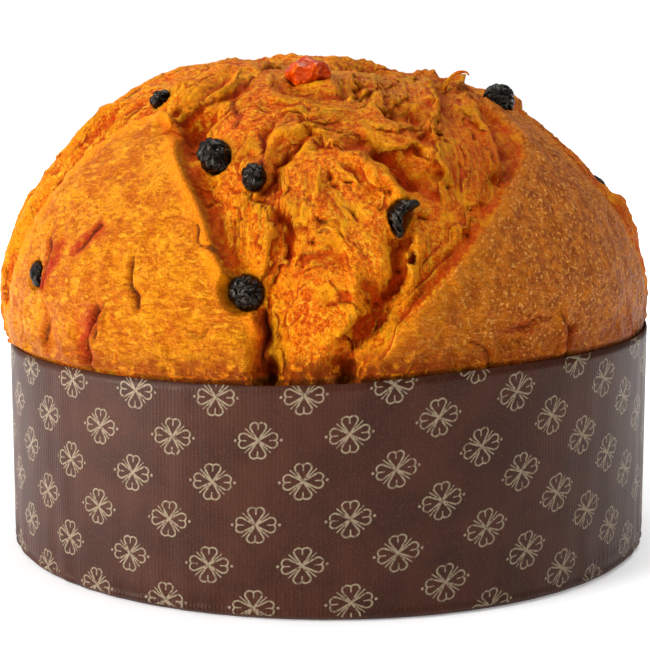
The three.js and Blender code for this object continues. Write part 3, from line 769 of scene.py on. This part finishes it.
    def add_sockets(self):
        """Places of the skin, pushed down to a bowl round each piece of fruit."""
        points = crust_point(self.polar, self.azimuth, self.rise)
        self.socket = self.blank()
        for item in FRUIT:
            middle, axes = fruit_frame(item)
            room = np.array(item[2]) / 2 * snug(item[0]) + SOCKET_GAP
            x, y, z = ((points - middle) @ axes.T / room).T
            x = x - item[5] * (y**2 - 0.5)
            flat_gap = x**2 + y**2
            outside = SOCKET_SLOPE * (np.sqrt(flat_gap) - 1)
            bowl = np.where(flat_gap < 1, -np.sqrt(np.clip(1 - flat_gap, 0, 1)), outside)
            within = (flat_gap < 2.2) & (np.abs(z) < 2.5) & (z > bowl)
            points[within] += ((bowl - z)[within] * room[2])[:, None] * axes[2]
            # Nearness to the fruit, where the material paints shade round it.
            beyond = np.maximum(np.sqrt(flat_gap + z**2) - 1, 0)
            self.socket = np.maximum(self.socket, np.exp(-beyond * 3.2))
        return points


def hidden_rings(last):
    """Rings below the collar: the tuck over the rim, the case's wall and the flat base."""
    reach = np.minimum(LOAF_RADIUS, np.hypot(last[:, 0], last[:, 1]))
    turn = np.arctan2(last[:, 1], last[:, 0])
    corner = CASE_CORNER - CASE_WALL
    slack = corner * (1 - math.sqrt(0.5))
    under_rim = level_ring(360)
    rings = [(reach, turn, rim_height(turn) + TUCK), (LOAF_RADIUS, under_rim, rim_height(under_rim) - 6)]
    for inset, lift, count in ((0, corner, 180), (slack, slack, 180), (corner, 0, 120)):
        rings.append((LOAF_RADIUS - inset, level_ring(count), LOAF_FLOOR + lift))
    return [np.stack([r * np.cos(a), r * np.sin(a), z + 0 * a], -1) for r, a, z in rings]


def bread_object(material):
    rng = np.random.default_rng(12)
    crust = Crust()
    crust.add_lobes_and_folds()
    crust.add_lips(rng)
    crust.add_scars()
    crust.add_strands(rng)
    crust.add_skin()
    crust.add_pits_and_tips(rng)
    points = crust.add_sockets()

    height = np.linalg.norm(points - np.array([0, 0, DOME_CENTRE_Z]), axis=1)
    height -= dome_radius(crust.polar, crust.azimuth)
    rings = hidden_rings(points[-crust.sizes[-1]:])
    hidden = np.concatenate(rings + [[[0, 0, LOAF_FLOOR]]])
    faces = stitched(crust.sizes + [len(ring) for ring in rings])
    read = dict(
        torn=(crust.torn, 0),
        red=(np.clip(crust.red, 0, 1), 0),
        gash_shade=(crust.gash_shade, 0),
        scar_red=(crust.scar_red, 0),
        flap=(np.clip(crust.flap, -6, 6), 6),
        margin=(np.clip(crust.margin, -12, 12), 12),
        pit_shade=(crust.pit_shade, 0),
        socket=(crust.socket, 0),
        fine=(np.clip(height - spread(height, crust.edges, crust.even, 14), -2, 2), 0),
        broad=(np.clip(height - spread(height, crust.edges, crust.even, 220), -4, 4), 0),
        band=(crust.band, 1),
        fibre=(crust.fibre, 0),
        strand=(crust.strand, 0),
        sheet=(crust.sheet, 0),
    )
    attributes = {}
    for key, (values, below) in read.items():
        attributes[key] = np.append(values, np.full(len(hidden), below))
    return mesh_object("bread", np.concatenate([points, hidden]), [faces], material, attributes)


# Materials

def linear(*screen):
    """A colour given as it shows on a screen, 0 to 255, as shader values."""
    shares = [c / 255 for c in screen]
    return tuple(c / 12.92 if c <= 0.04045 else ((c + 0.055) / 1.055) ** 2.4 for c in shares) + (1.0,)


class Field:
    """A number or colour that varies over the surface, and can be reckoned with."""

    def __init__(self, shader, socket):
        self.shader = shader
        self.socket = socket

    def __add__(self, other):
        return self.shader.math("ADD", self, other)

    def __sub__(self, other):
        return self.shader.math("SUBTRACT", self, other)

    def __rsub__(self, other):
        return self.shader.math("SUBTRACT", other, self)

    def __mul__(self, other):
        return self.shader.math("MULTIPLY", self, other)

    def __truediv__(self, other):
        return self.shader.math("DIVIDE", self, other)

    def __rtruediv__(self, other):
        return self.shader.math("DIVIDE", other, self)

    def __abs__(self):
        return self.shader.math("ABSOLUTE", self)

    def step(self, low, high, out_low=0.0, out_high=1.0):
        """Goes smoothly from the one output to the other while the field goes from low to high."""
        numbers = {"Value": self, "From Min": low, "From Max": high, "To Min": out_low, "To Max": out_high}
        return self.shader.made("ShaderNodeMapRange", numbers, interpolation_type="SMOOTHSTEP")

    def part(self, axis):
        return self.shader.made("ShaderNodeSeparateXYZ", {0: self}, axis)


class Shader:
    """One node material."""

    def __init__(self, name):
        self.material = bpy.data.materials.new(name)
        self.material.use_nodes = True
        self.tree = self.material.node_tree
        self.place = self.made("ShaderNodeTexCoord", {}, "Object")

    def made(self, kind, inputs, output=0, **settings):
        """One output of a new node, with its inputs set or linked."""
        node = self.tree.nodes.new(kind)
        for key, value in settings.items():
            setattr(node, key, value)
        for key, value in inputs.items():
            self.put(node.inputs[key], value)
        return Field(self, node.outputs[output])

    def put(self, socket, value):
        if isinstance(value, Field):
            self.tree.links.new(value.socket, socket)
        else:
            socket.default_value = value

    def math(self, operation, *values):
        return self.made("ShaderNodeMath", dict(enumerate(values)), operation=operation)

    def mix(self, factor, a, b):
        return self.made("ShaderNodeMix", {0: factor, 6: a, 7: b}, 2, data_type="RGBA")

    def tint(self, colour, mask, *screen):
        return self.mix(mask, colour, linear(*screen))

    def layers(self, colour, rows):
        """Lays tints over a colour, each where its field nears the second value, as strong as its share."""
        for field, low, high, share, tint in rows:
            colour = self.tint(colour, field.step(low, high) * share, *tint)
        return colour

    def noise(self, size_mm, detail=2.0, roughness=0.5, distortion=0.0, place=None):
        inputs = {"Vector": place or self.place, "Scale": 1 / (size_mm * MM)}
        inputs.update(Detail=detail, Roughness=roughness, Distortion=distortion)
        return self.made("ShaderNodeTexNoise", inputs, "Fac")

    def pushed(self, *fields):
        """Places pushed along the axes by fields, in metres."""
        push = self.made("ShaderNodeCombineXYZ", dict(enumerate(fields)))
        return self.made("ShaderNodeVectorMath", {0: self.place, 1: push}, operation="ADD")

    def attribute(self, name):
        return self.made("ShaderNodeAttribute", {}, "Fac", attribute_name=name)

    def bump(self, height, distance_mm, strength, below=None):
        inputs = {"Strength": strength, "Distance": distance_mm * MM, "Height": height}
        if below:
            inputs["Normal"] = below
        return self.made("ShaderNodeBump", inputs, "Normal")

    def finish(self, colour, roughness, **others):
        """Sets the surface's inputs by name, with spaces as underscores, and gives the material."""
        surface = self.tree.nodes["Principled BSDF"]
        for key, value in {"Base_Color": colour, "Roughness": roughness, **others}.items():
            self.put(surface.inputs[key.replace("_", " ")], value)
        return self.material


def crust_material():
    s = Shader("baked_crust")
    red, margin, flap, strand, sheet = (s.attribute(k) for k in ("red", "margin", "flap", "strand", "sheet"))
    fine, broad, band, fibre = (s.attribute(k) for k in ("fine", "broad", "band", "fibre"))
    across = s.place.part("X")
    rightward = across.step(-0.01, 0.065)
    blotch = s.noise(11, 4, 0.6, 0.6)
    mottle = s.noise(5, 4, 0.62, 0.8)
    grain = s.noise(2.6, 5, 0.7, 0.6)
    fleck = s.noise(1.1, 3, 0.65, 0.4)
    speck = s.noise(0.7, 2, 0.6)
    crumb = s.noise(1.3, 5, 0.78, 0.3)

    # Wrinkles of the left lobe run up to the right. Streaks and small folds follow the strands.
    turned = {"Vector": s.place, "Rotation": (0, math.radians(24), 0), "Scale": (0.5, 0.8, 1.35)}
    wrinkle = s.noise(1.6, 5, 0.68, 0.7, s.made("ShaderNodeMapping", turned))
    streak = s.noise(7.5 / 1.2, 4.5, 0.66, 0.15, s.pushed(strand * 0.0195, sheet * 0.009, fibre * 0.00225))
    small_fold = s.noise(13 / 1.5, 3.0, 0.6, 0.2, s.pushed(strand * 0.0117, sheet * 0.0117))
    ridge = abs(small_fold - 0.5)
    torn = (margin + (grain - 0.5) * 1.2).step(0.0, 0.5)

    # Smooth crust of the lobes: golden on the left, browner and more mottled on the right.
    golden = s.layers(s.tint(linear(216, 132, 2), blotch.step(0.36, 0.64), 188, 92, 1), [
        (wrinkle, 0.5, 0.36, 0.75, (156, 60, 1)),
        (wrinkle, 0.49, 0.68, 0.58, (252, 184, 38)),
        (grain, 0.52, 0.68, 0.45, (190, 84, 1)),
        (mottle, 0.56, 0.7, 0.45, (250, 164, 30)),
    ])
    brown = s.layers(s.tint(linear(198, 104, 14), mottle.step(0.38, 0.64), 148, 58, 3), [
        (grain, 0.5, 0.36, 0.8, (122, 38, 1)),
        (grain, 0.54, 0.7, 0.6, (222, 140, 44)),
        (fleck, 0.52, 0.66, 0.9, (240, 170, 84)),
    ])
    skin = s.layers(s.mix(rightward * 0.92, golden, brown), [(speck, 0.56, 0.7, 0.45, (140, 56, 2))])
    # Painted highlight on the lobes' flanks just inside their edges, stronger on the left.
    painted_edge_highlight = margin.step(-5.0, -1.2) * margin.step(0.2, -0.1) * rightward.step(0.2, 0.6, 0.75, 0.2)
    skin = s.tint(skin, painted_edge_highlight, 250, 140, 6)

    # Torn crust: saturated orange, streaked in some places and smooth in others, with lighter and darker
    # strands; small raised bits get a painted highlight and small hollows painted shade.
    streaky = s.noise(7, 3, 0.5).step(0.42, 0.6, 0.12, 0.6)
    inner = s.layers(s.tint(linear(255, 136, 1), blotch.step(0.36, 0.64), 244, 104, 0), [
        (mottle, 0.5, 0.66, 0.7, (236, 94, 2)),
        (streak, 0.49, 0.36, streaky, (206, 66, 2)),
        (streak, 0.54, 0.66, streaky, (255, 184, 24)),
        (ridge, 0.02, 0.0, 0.5, (176, 40, 2)),
        (ridge, 0.08, 0.15, 0.25, (255, 166, 14)),
        (fibre, -0.2, -1.6, 0.65, (190, 54, 1)),
        (fibre, 0.3, 1.6, 0.6, (255, 186, 30)),
        (crumb, 0.5, 0.38, 0.9, (180, 50, 1)),
        (crumb, 0.51, 0.63, 0.9, (255, 194, 48)),
        # Darker in small hollows and lighter on small raised bits: painted shade and painted highlight.
        (fine, -0.08, -0.55, 0.7, (206, 54, 1)),
        (fine, 0.12, 0.5, 0.5, (255, 158, 8)),
        (speck, 0.54, 0.68, 0.5, (160, 44, 4)),
        (across, 0.015, 0.05, 0.42, (216, 76, 2)),
        # Golden patches: painted highlight.
        (s.noise(9, 3, 0.6, 0.6), 0.52, 0.66, 0.6, (255, 174, 16)),
    ])
    colour = s.mix(torn, skin, inner)

    # Hollows are red and darkened with painted shade, lips pale in places with a painted highlight, and a
    # painted shade line runs on each lip's hollow side.
    # Painted shade in the broad hollows of the torn crust.
    cavity_shade = broad.step(-1.0, -3.6) * margin.step(2.0, 6.0, 0.15, 0.85)
    # Red hollows of folds and lips, darkened further with painted shade.
    patch = red * grain.step(0.3, 0.66, 1.0, 0.45)
    colour = s.tint(colour, s.math("MAXIMUM", cavity_shade * torn, patch), 196, 48, 3)
    colour = s.tint(colour, patch * patch * streak.step(0.58, 0.42) * 0.8, 128, 22, 3)
    ragged = flap + (grain - 0.5) * 0.9
    # Pale lips, partly a painted highlight on their edges.
    pale_lip_highlight = ragged.step(-0.6, -0.2) * ragged.step(0.08, -0.05)
    shade_line = ragged.step(0.0, 0.15) * ragged.step(1.1, 0.3)
    colour = s.tint(colour, shade_line * mottle.step(0.4, 0.6, 0.5, 0.9), 172, 40, 1)
    colour = s.tint(colour, pale_lip_highlight * mottle.step(0.44, 0.6) * 0.65, 255, 178, 44)
    # Painted shade in the groove just beside the lobes' edges, weaker to the right.
    painted_edge_shade = margin.step(0.05, 0.3) * margin.step(1.2, 0.4) * across.step(0.0, 0.02, 0.85, 0.12)
    colour = s.tint(colour, painted_edge_shade * grain.step(0.36, 0.6, 0.85, 0.3), 152, 40, 2)

    # Red patches round the scars, and painted shade in the scars' gashes, round the fruit and in the holes of
    # the crumb.
    sore = s.attribute("scar_red") * grain.step(0.4, 0.7, 1.0, 0.5)
    colour = s.layers(s.tint(colour, sore * 0.95, 172, 30, 16), [
        # Painted shade in the scars' gashes.
        (s.attribute("gash_shade"), 0.2, 0.8, 0.85, (88, 18, 6)),
        # Painted shade round the fruit.
        (s.attribute("socket"), 0.7, 0.99, 0.6, (150, 48, 3)),
        # Painted shade in the holes of the crumb.
        (s.attribute("pit_shade"), 0.4, 0.9, 0.85, (80, 24, 4)),
    ])

    # Darker, blotched baking above the case, and a darker line right at the rim, stronger towards the right.
    low = band.step(0.2, 0.72) * s.noise(4.5, 4, 0.65, 1.2).step(0.34, 0.54)
    low = low * across.step(-0.07, -0.02, 0.6, 0.95) * across.step(0.02, 0.06, 1.0, 0.55)
    colour = s.tint(colour, low, 128, 38, 2)
    base_line = band.step(0.84, 0.97) * across.step(-0.07, -0.03, 0.1, 0.6)
    colour = s.tint(colour, base_line, 56, 16, 2)

    heights = {0: torn, 2: wrinkle + fleck * 0.7, 3: streak * 0.7 + crumb * 1.1}
    normal = s.bump(s.math("MINIMUM", ridge, 0.12) * torn, 4.5, 0.7)
    normal = s.bump(s.made("ShaderNodeMix", heights, data_type="FLOAT"), 1.7, 0.85, normal)
    normal = s.bump(ragged.step(0.25, -0.1), 0.45, 0.7, normal)
    normal = s.bump(speck, 0.5, 0.7, normal)
    return s.finish(
        colour,
        fleck.step(0.3, 0.7, 0.32, 0.56),
        Specular_IOR_Level=0.25,
        Specular_Tint=(1.0, 0.66, 0.16, 1),
        Subsurface_Weight=0.14,
        Subsurface_Radius=(1.0, 0.4, 0.1),
        Subsurface_Scale=0.001,
        Normal=normal,
    )


# Print: columns of four-heart flowers, with the sheet's own slant growing towards the right.
COLUMN = 13.1
ROW = 24.2
FIRST_COLUMN = -172
PRINT_LEVEL = 39.3
SLANT_START = -204
SLANT = 0.00132
SLANT_REACH = 118
LEAN = 0.62
LEAN_BACK = 0.065
HEART_SIDE = 1.05
HEART_TOP = 4.3
HEART_RADIUS = 1.3
HEART_LINE = 0.26
FLATTENED = 1.1
TICK_HALF = 0.8
TICK_LINE = 0.2
STROKE_START = 5.2
STROKE_LINE = 0.19
DOT_PLACE = 6.7
DOT_RADIUS = 0.42
INK_EDGE = 0.1
SHEET_ZERO = 500


def print_mask(s, round_way, up_way):
    """Where ink lies, from the sheet's own coordinates: millimetres round the case and up it."""
    def larger(a, b):
        return s.math("MAXIMUM", a, b)

    def smaller(a, b):
        return s.math("MINIMUM", a, b)

    def distance(a, b):
        return s.math("SQRT", a * a + b * b)

    # Slant of the sheet: it grows as a square, and evenly past its reach.
    start = larger(round_way - SLANT_START, 0.0)
    bent = smaller(start, SLANT_REACH)
    slope = bent * (2 * SLANT)
    slant = bent * (start * 2.0 - bent) * SLANT

    # Place in the own column and row, odd columns half a row higher.
    above = up_way - PRINT_LEVEL
    leaned = round_way + slope * above * LEAN - above * LEAN_BACK
    column_place = (leaned - FIRST_COLUMN) / COLUMN
    column = s.math("ROUND", column_place)
    wide = abs(column_place - column) * COLUMN
    row_place = (above - slant) / ROW - s.math("PINGPONG", column, 1.0) * 0.5
    tall = abs(row_place - s.math("ROUND", row_place)) * ROW

    # A heart along each axis: two straight sides and an arc.
    shrink = 1.0 / s.math("SQRT", slope * slope + 1.0)
    ax = wide * shrink
    ay = tall * FLATTENED * shrink
    axial = larger(ax, ay)
    side = smaller(ax, ay)
    far = math.hypot(HEART_SIDE, HEART_TOP)
    opening = math.atan2(HEART_SIDE, HEART_TOP) + math.asin(HEART_RADIUS / far)
    forward = side * math.sin(opening) + axial * math.cos(opening)
    straight = abs(side * math.cos(opening) - axial * math.sin(opening))
    arc = abs(distance(side - HEART_SIDE, axial - HEART_TOP) - HEART_RADIUS)
    on_arc = s.math("GREATER_THAN", forward, math.sqrt(far**2 - HEART_RADIUS**2))
    heart = arc * on_arc + straight * (1.0 - on_arc) - HEART_LINE

    # Tick in the notch, diagonal stroke between petals, and dots beside the flower.
    notch = HEART_TOP + math.sqrt(HEART_RADIUS**2 - HEART_SIDE**2)
    tick = larger(abs(axial - (notch - TICK_HALF)), TICK_HALF) - TICK_HALF
    tick = distance(side, tick) - TICK_LINE
    past = larger((axial + side) * math.sqrt(0.5) - STROKE_START, 0.0)
    stroke = distance((axial - side) * math.sqrt(0.5), past) - STROKE_LINE
    own = distance(wide - DOT_PLACE, tall)
    other = distance(wide - (COLUMN - DOT_PLACE), tall - ROW / 2)
    dot = smaller(own, other) - DOT_RADIUS
    return smaller(smaller(heart, tick), smaller(stroke, dot)).step(INK_EDGE, -INK_EDGE)


def paper_material():
    s = Shader("case_paper_printed")
    sheet = s.made("ShaderNodeUVMap", {}, uv_map="sheet")
    up_way = sheet.part("Y") * (1 / MM)
    ink = print_mask(s, sheet.part("X") * (1 / MM) - SHEET_ZERO, up_way)
    inside = s.attribute("inside")
    paper = s.tint(linear(62, 30, 19), s.noise(14, 3, 0.5).step(0.35, 0.65), 48, 22, 13)
    paper = s.layers(paper, [(s.noise(0.6, 4, 0.7), 0.48, 0.66, 0.6, (86, 44, 26))])
    worn = s.noise(0.9, 4, 0.75).step(0.3, 0.56) * 0.95
    ink = ink * worn * (1.0 - inside) * up_way.step(1.2, 1.6)
    colour = s.tint(paper, ink, 144, 128, 104)
    colour = s.tint(colour, inside * 0.6, 58, 32, 24)
    normal = s.bump(s.noise(0.8, 3, 0.6), 0.12, 0.6)
    warm = (1.0, 0.84, 0.74, 1)
    return s.finish(colour, 0.42, Specular_IOR_Level=0.2, Specular_Tint=warm, Normal=normal)


def raisin_material():
    s = Shader("wrinkled_raisin")
    fine = s.attribute("fine")
    # Pale bloom on the raised wrinkles, partly painted glints; black in the folds is painted shade.
    bloom_and_glint = s.noise(0.9, 3, 0.7).step(0.54, 0.68) * fine.step(0.0, 0.3)
    colour = s.tint(linear(0, 0, 0), fine.step(-0.2, 0.3), 6, 4, 3)
    colour = s.tint(colour, bloom_and_glint * 0.4, 112, 96, 76)
    roughness = s.noise(1.2).step(0.3, 0.7, 0.08, 0.2)
    normal = s.bump(s.noise(1.5, 3, 0.6), 0.5, 0.7)
    warm = (1.0, 0.84, 0.7, 1)
    return s.finish(colour, roughness, Specular_IOR_Level=0.22, Specular_Tint=warm, Normal=normal)


def peel_material():
    s = Shader("candied_orange_peel")
    mottled = s.noise(3.4, 3, 0.6, 0.8).step(0.35, 0.68)
    colour = s.tint(linear(196, 62, 1), mottled, 160, 36, 1)
    # Lighter orange on raised parts: painted highlight.
    colour = s.layers(colour, [(s.attribute("fine"), 0.1, 0.5, 0.5, (236, 110, 12))])
    return s.finish(
        colour,
        s.noise(1.4).step(0.3, 0.7, 0.14, 0.3),
        Specular_IOR_Level=0.45,
        Specular_Tint=(1.0, 0.56, 0.22, 1),
        Subsurface_Weight=0.3,
        Subsurface_Radius=(1.0, 0.35, 0.1),
        Subsurface_Scale=0.002,
        Normal=s.bump(s.noise(1.3, 2, 0.6), 0.4, 0.6),
    )


# Paper case

# Ribs and points round each, levels of the wall's rings, and the inset that keeps ribs in the solid.
RIBS = 550
RIB_POINTS = 4
WALL_LEVELS = [3.4, 4.6, 6.2, 7.2, 8.2, 10, 14, 20, 27, 34, 41, 48, 55, 61]
INSET = 0.05
BASE_CORNER = 2.5
BASE_RIB = 0.1
BASE_PLEAT = 0.96
WALL_RIB = 0.03
SLOW_RIPPLE = 0.09
CRUMPLE = 0.035
PHASES = 6.28
CREASE_LEVEL = 3.4
CREASE_DEPTH = 0.3
CRIMP_LEVEL = 7.2
CRIMP_STEP = 2.5
CRIMP_HEIGHT = 0.22
CRIMP_SHARPNESS = 0.02
RIM_MIDDLE = 0.45
INNER_FACE = 0.85


def case_rings(turn):
    """Radius, height and share of inner face of each ring: base, rounded edge, wall, rim and inner face."""
    rim = rim_height(turn)
    rib = np.cos(turn * RIBS)
    rng = np.random.default_rng(31)

    def ripples(counts, falling):
        return sum(rng.normal() * np.cos(k * turn + rng.random() * PHASES) / (1 + falling * k) for k in counts)

    slow = ripples(range(2, 9), 0.4) * SLOW_RIPPLE
    crumple = ripples(range(20, 90, 3), 0) * CRUMPLE
    arc = turn * CASE_RADIUS
    off_crimp = arc / CRIMP_STEP - np.round(arc / CRIMP_STEP)
    crimps = np.exp(-(off_crimp**2) / CRIMP_SHARPNESS) * (0.5 + 0.5 * np.cos(arc / 9 + 1))
    corner = CASE_RADIUS - CASE_CORNER
    rings = [(corner * 0.5, 0, 0), (corner - 0.5, 0, 0)]
    for angle in np.radians((0, 30, 55, 75, 90)):
        pleat = (BASE_PLEAT * crumple + BASE_RIB * rib) * math.sin(angle)
        edge = CASE_RADIUS - BASE_CORNER * (1 - math.sin(angle)) - INSET
        rings.append((edge + pleat, BASE_CORNER * (1 - math.cos(angle)), 0))
    for level in WALL_LEVELS:
        crimp = CRIMP_HEIGHT * crimps * bell(level - CRIMP_LEVEL, 1.0)
        crimp = crimp - CREASE_DEPTH * bell(level - CREASE_LEVEL, 0.8)
        creased = crumple * (0.3 + 0.7 * math.exp(-level / 10))
        loose = slow * level / RIM_HEIGHT + creased + WALL_RIB * rib
        rings.append((CASE_RADIUS - INSET + loose + crimp, level * (0.9 + 0.1 * min(1, level / 20)), 0))
    loose = slow + 0.3 * crumple + WALL_RIB * rib
    for gap in (5.0, 2.5, 0.0):
        rings.append((CASE_RADIUS - INSET + loose, rim - gap, 0))
    rings.append((CASE_RADIUS - RIM_MIDDLE + loose, rim + 0.02, 0.5))
    inner = CASE_RADIUS - INNER_FACE + np.minimum(slow, 0.1) * 0.3 + BASE_RIB * rib
    for gap in (1.2, 4.0, 10.0):
        rings.append((inner, rim - gap, 1))
    return rings + [(CASE_RADIUS - CASE_WALL, CASE_CORNER, 1), (CASE_RADIUS - CASE_CORNER, CASE_WALL, 1)]


def case_object(material):
    """The folded paper cup: ribs, a creased base edge, a cut rim and an inner face."""
    around = RIBS * RIB_POINTS
    turn = 2 * math.pi * (np.arange(around) / around) - 1.5 * math.pi
    rings = case_rings(turn)
    blank = 0 * turn
    rows = [np.stack([r * np.cos(turn), r * np.sin(turn), z + blank], -1) for r, z, _ in rings]
    inside = np.concatenate([share + blank for _, _, share in rings] + [[0, 1]])
    points = np.concatenate(rows + [[[0, 0, 0], [0, 0, CASE_WALL]]])
    k = np.arange(around)
    after = (k + 1) % around
    here = turn * CASE_RADIUS + SHEET_ZERO
    there = here + 2 * math.pi / around * CASE_RADIUS
    quads = []
    sheet = []
    for number, (lower, upper) in enumerate(zip(rows, rows[1:])):
        a = number * around
        b = a + around
        quads.append(np.stack([a + k, a + after, b + after, b + k], -1))
        low, high = lower[:, 2], upper[:, 2]
        corners = ((here, low), (there, low[after]), (there, high[after]), (here, high))
        sheet.append(np.stack([np.stack(corner, -1) for corner in corners], 1).reshape(-1, 2))
    centre = len(points) - 2
    fans = np.concatenate([
        np.stack([centre + 0 * k, after, k], -1),
        np.stack([centre + 1 + 0 * k, a + around + k, a + around + after], -1),
    ])
    sheet = np.concatenate(sheet + [np.zeros((fans.size, 2))]) * MM
    groups = [np.concatenate(quads), fans]
    return mesh_object("paper_case_ribbed", points, groups, material, dict(inside=inside), sheet)


# Fruit

def ball():
    made = bmesh.new()
    bmesh.ops.create_icosphere(made, subdivisions=6, radius=1)
    points = np.array([v.co[:] for v in made.verts])
    faces = np.array([[v.index for v in f.verts] for f in made.faces])
    made.free()
    return points, faces


def fruit_object(item, unit, faces, edges, material, seed):
    name, at, size, _, _, bend = item
    middle, axes = fruit_frame(item)
    x, y, z = unit.T
    dent = np.sin(5 * x + at[0]) * np.sin(4 * y + at[1]) * np.cos(3 * z)
    half = np.array(size) / 2 * snug(name)
    place = unit * half
    if name.startswith("peel"):
        fold = np.abs(waves(place, 2.4, 4.5, 40, seed + 1))
        lumps = 0.26 * waves(place, 4, 7, 40, seed)
        height = lumps - 0.08 * fold + 0.03 * waves(place, 0.9, 1.6, 40, seed + 2)
    else:
        fold = np.abs(waves(place, 3.4, 6.0, 40, seed))
        ridge = np.abs(waves(place, 1.3, 2.2, 40, seed + 1))
        height = 0.55 * np.clip(fold, 0, 1.0) + 0.12 * np.clip(ridge, 0, 1.2) - 0.5
    shape = unit * (1 + 0.06 * dent)[:, None]
    if bend:
        shape[:, 0] *= np.where(shape[:, 0] > 0, 0.25 + 0.6 * np.abs(unit[:, 1]), 1)
    shape[:, 0] += bend * (unit[:, 1] ** 2 - 0.5)
    points = middle + (shape * half + unit * height[:, None]) @ axes
    fine = height - spread(height, edges, np.full(len(edges), EVEN_PULL), 24)
    look = "_candied" if name.startswith("peel") else "_wrinkled"
    return mesh_object(name + look, points, [faces], material, dict(fine=fine / np.abs(fine).max()))


def curl_object(material):
    """A tapered, slightly uneven strand through the curl's places."""
    line = smooth_line([p for p, _ in CURL], False, 6)
    radii = np.interp(np.linspace(0, 1, len(line)), np.linspace(0, 1, len(CURL)), [r for _, r in CURL])
    turn = 2 * math.pi * np.arange(12) / 12
    rings = []
    for k, middle in enumerate(line):
        way = line[min(k + 1, len(line) - 1)] - line[max(k - 1, 0)]
        way /= np.linalg.norm(way)
        side = np.cross(way, (0, 1, 0))
        side /= np.linalg.norm(side)
        radius = radii[k] * (1 + 0.25 * np.sin(3 * turn + 0.4 * k))
        off = np.outer(np.cos(turn), side) + np.outer(np.sin(turn), np.cross(side, way))
        rings.append(middle + radius[:, None] * off)
    points = np.concatenate([line[:1], *rings, line[-1:]])
    faces = stitched([len(turn)] * len(line))
    attributes = dict(margin=np.full(len(points), 12.0), flap=np.full(len(points), 6.0))
    return mesh_object("crust_curl", points, [faces], material, attributes)


# Camera, light and floor

def aim(thing, target):
    thing.rotation_euler = (Vector(target) - thing.location).to_track_quat("-Z", "Y").to_euler()


def soft_light(name, place, target, size, energy):
    data = bpy.data.lights.new(name, "AREA")
    data.shape = "DISK"
    data.size = size
    data.energy = energy
    light = bpy.data.objects.new(name, data)
    light.location = place
    bpy.context.collection.objects.link(light)
    aim(light, target)


PHOTO_WIDTH = 650
CAMERA_PLACE = (0, -0.57458, 0.15717)
CAMERA_DIP = 8.768
LENS = 96.03
LENS_SHIFT = -3.48
FLOOR_HALF = 3.0


def studio():
    scene = bpy.context.scene
    scene.view_settings.view_transform = "Standard"
    camera_data = bpy.data.cameras.new("camera")
    camera_data.lens = LENS
    camera_data.sensor_width = 36
    camera_data.shift_x = LENS_SHIFT / PHOTO_WIDTH
    camera_data.clip_end = 20
    camera = bpy.data.objects.new("camera", camera_data)
    camera.location = CAMERA_PLACE
    camera.rotation_euler = (math.radians(90 - CAMERA_DIP), 0, 0)
    bpy.context.collection.objects.link(camera)
    scene.camera = camera

    world = bpy.data.worlds.new("white_room")
    scene.world = world
    world.use_nodes = True
    nodes, links = world.node_tree.nodes, world.node_tree.links

    def ramp(value, **numbers):
        made = nodes.new("ShaderNodeMapRange")
        links.new(value, made.inputs["Value"])
        for key, number in numbers.items():
            made.inputs[key.replace("_", " ")].default_value = number
        return made

    # The room is white to the camera and a little darker on the right.
    split = nodes.new("ShaderNodeSeparateXYZ")
    links.new(nodes.new("ShaderNodeTexCoord").outputs["Generated"], split.inputs[0])
    room = ramp(split.outputs["X"], From_Min=-0.5, From_Max=0.8, To_Min=0.52, To_Max=0.15)
    strength = ramp(nodes.new("ShaderNodeLightPath").outputs["Is Camera Ray"], To_Max=1.05)
    links.new(room.outputs[0], strength.inputs["To Min"])
    nodes["Background"].inputs["Color"].default_value = (1, 1, 1, 1)
    links.new(strength.outputs[0], nodes["Background"].inputs["Strength"])

    soft_light("key", (-1.15, -0.95, 1.15), (0, 0, 0.09), 0.55, 13.6)
    soft_light("left_side", (-1.45, -0.6, 0.22), (0, 0, 0.04), 0.7, 24)
    soft_light("top", (0.25, 0.2, 1.6), (0, 0, 0.1), 1.0, 13)

    mesh = bpy.data.meshes.new("floor")
    side = FLOOR_HALF
    corners = [(-side, -side, 0), (side, -side, 0), (side, side, 0), (-side, side, 0)]
    mesh.from_pydata(corners, [], [(0, 1, 2, 3)])
    floor = bpy.data.objects.new("floor", mesh)
    s = Shader("pale_floor")
    far = s.made("ShaderNodeVectorMath", {0: s.place}, "Value", operation="LENGTH")
    glow = far.step(0.1, 0.4, 0.3, 0.95)
    pale = (0.93, 0.93, 0.93, 1)
    mesh.materials.append(s.finish(pale, 0.9, Emission_Color=(1, 1, 1, 1), Emission_Strength=glow))
    bpy.context.collection.objects.link(floor)


def main():
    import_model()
    studio()

    case = case_object(paper_material())
    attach(case, "root")
    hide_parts("paper_case")

    bread = bread_object(crust_material())
    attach(bread, "root")
    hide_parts("loaf")

    curl = curl_object(bread.data.materials[0])
    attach(curl, "root")

    unit, ball_faces = ball()
    ball_edges = edges_of(ball_faces)
    raisin = raisin_material()
    peel = peel_material()
    for number, item in enumerate(FRUIT):
        is_peel = item[0].startswith("peel")
        material = peel if is_peel else raisin
        piece = fruit_object(item, unit, ball_faces, ball_edges, material, 100 + 7 * number)
        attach(piece, "root")
        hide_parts(item[0])


main()
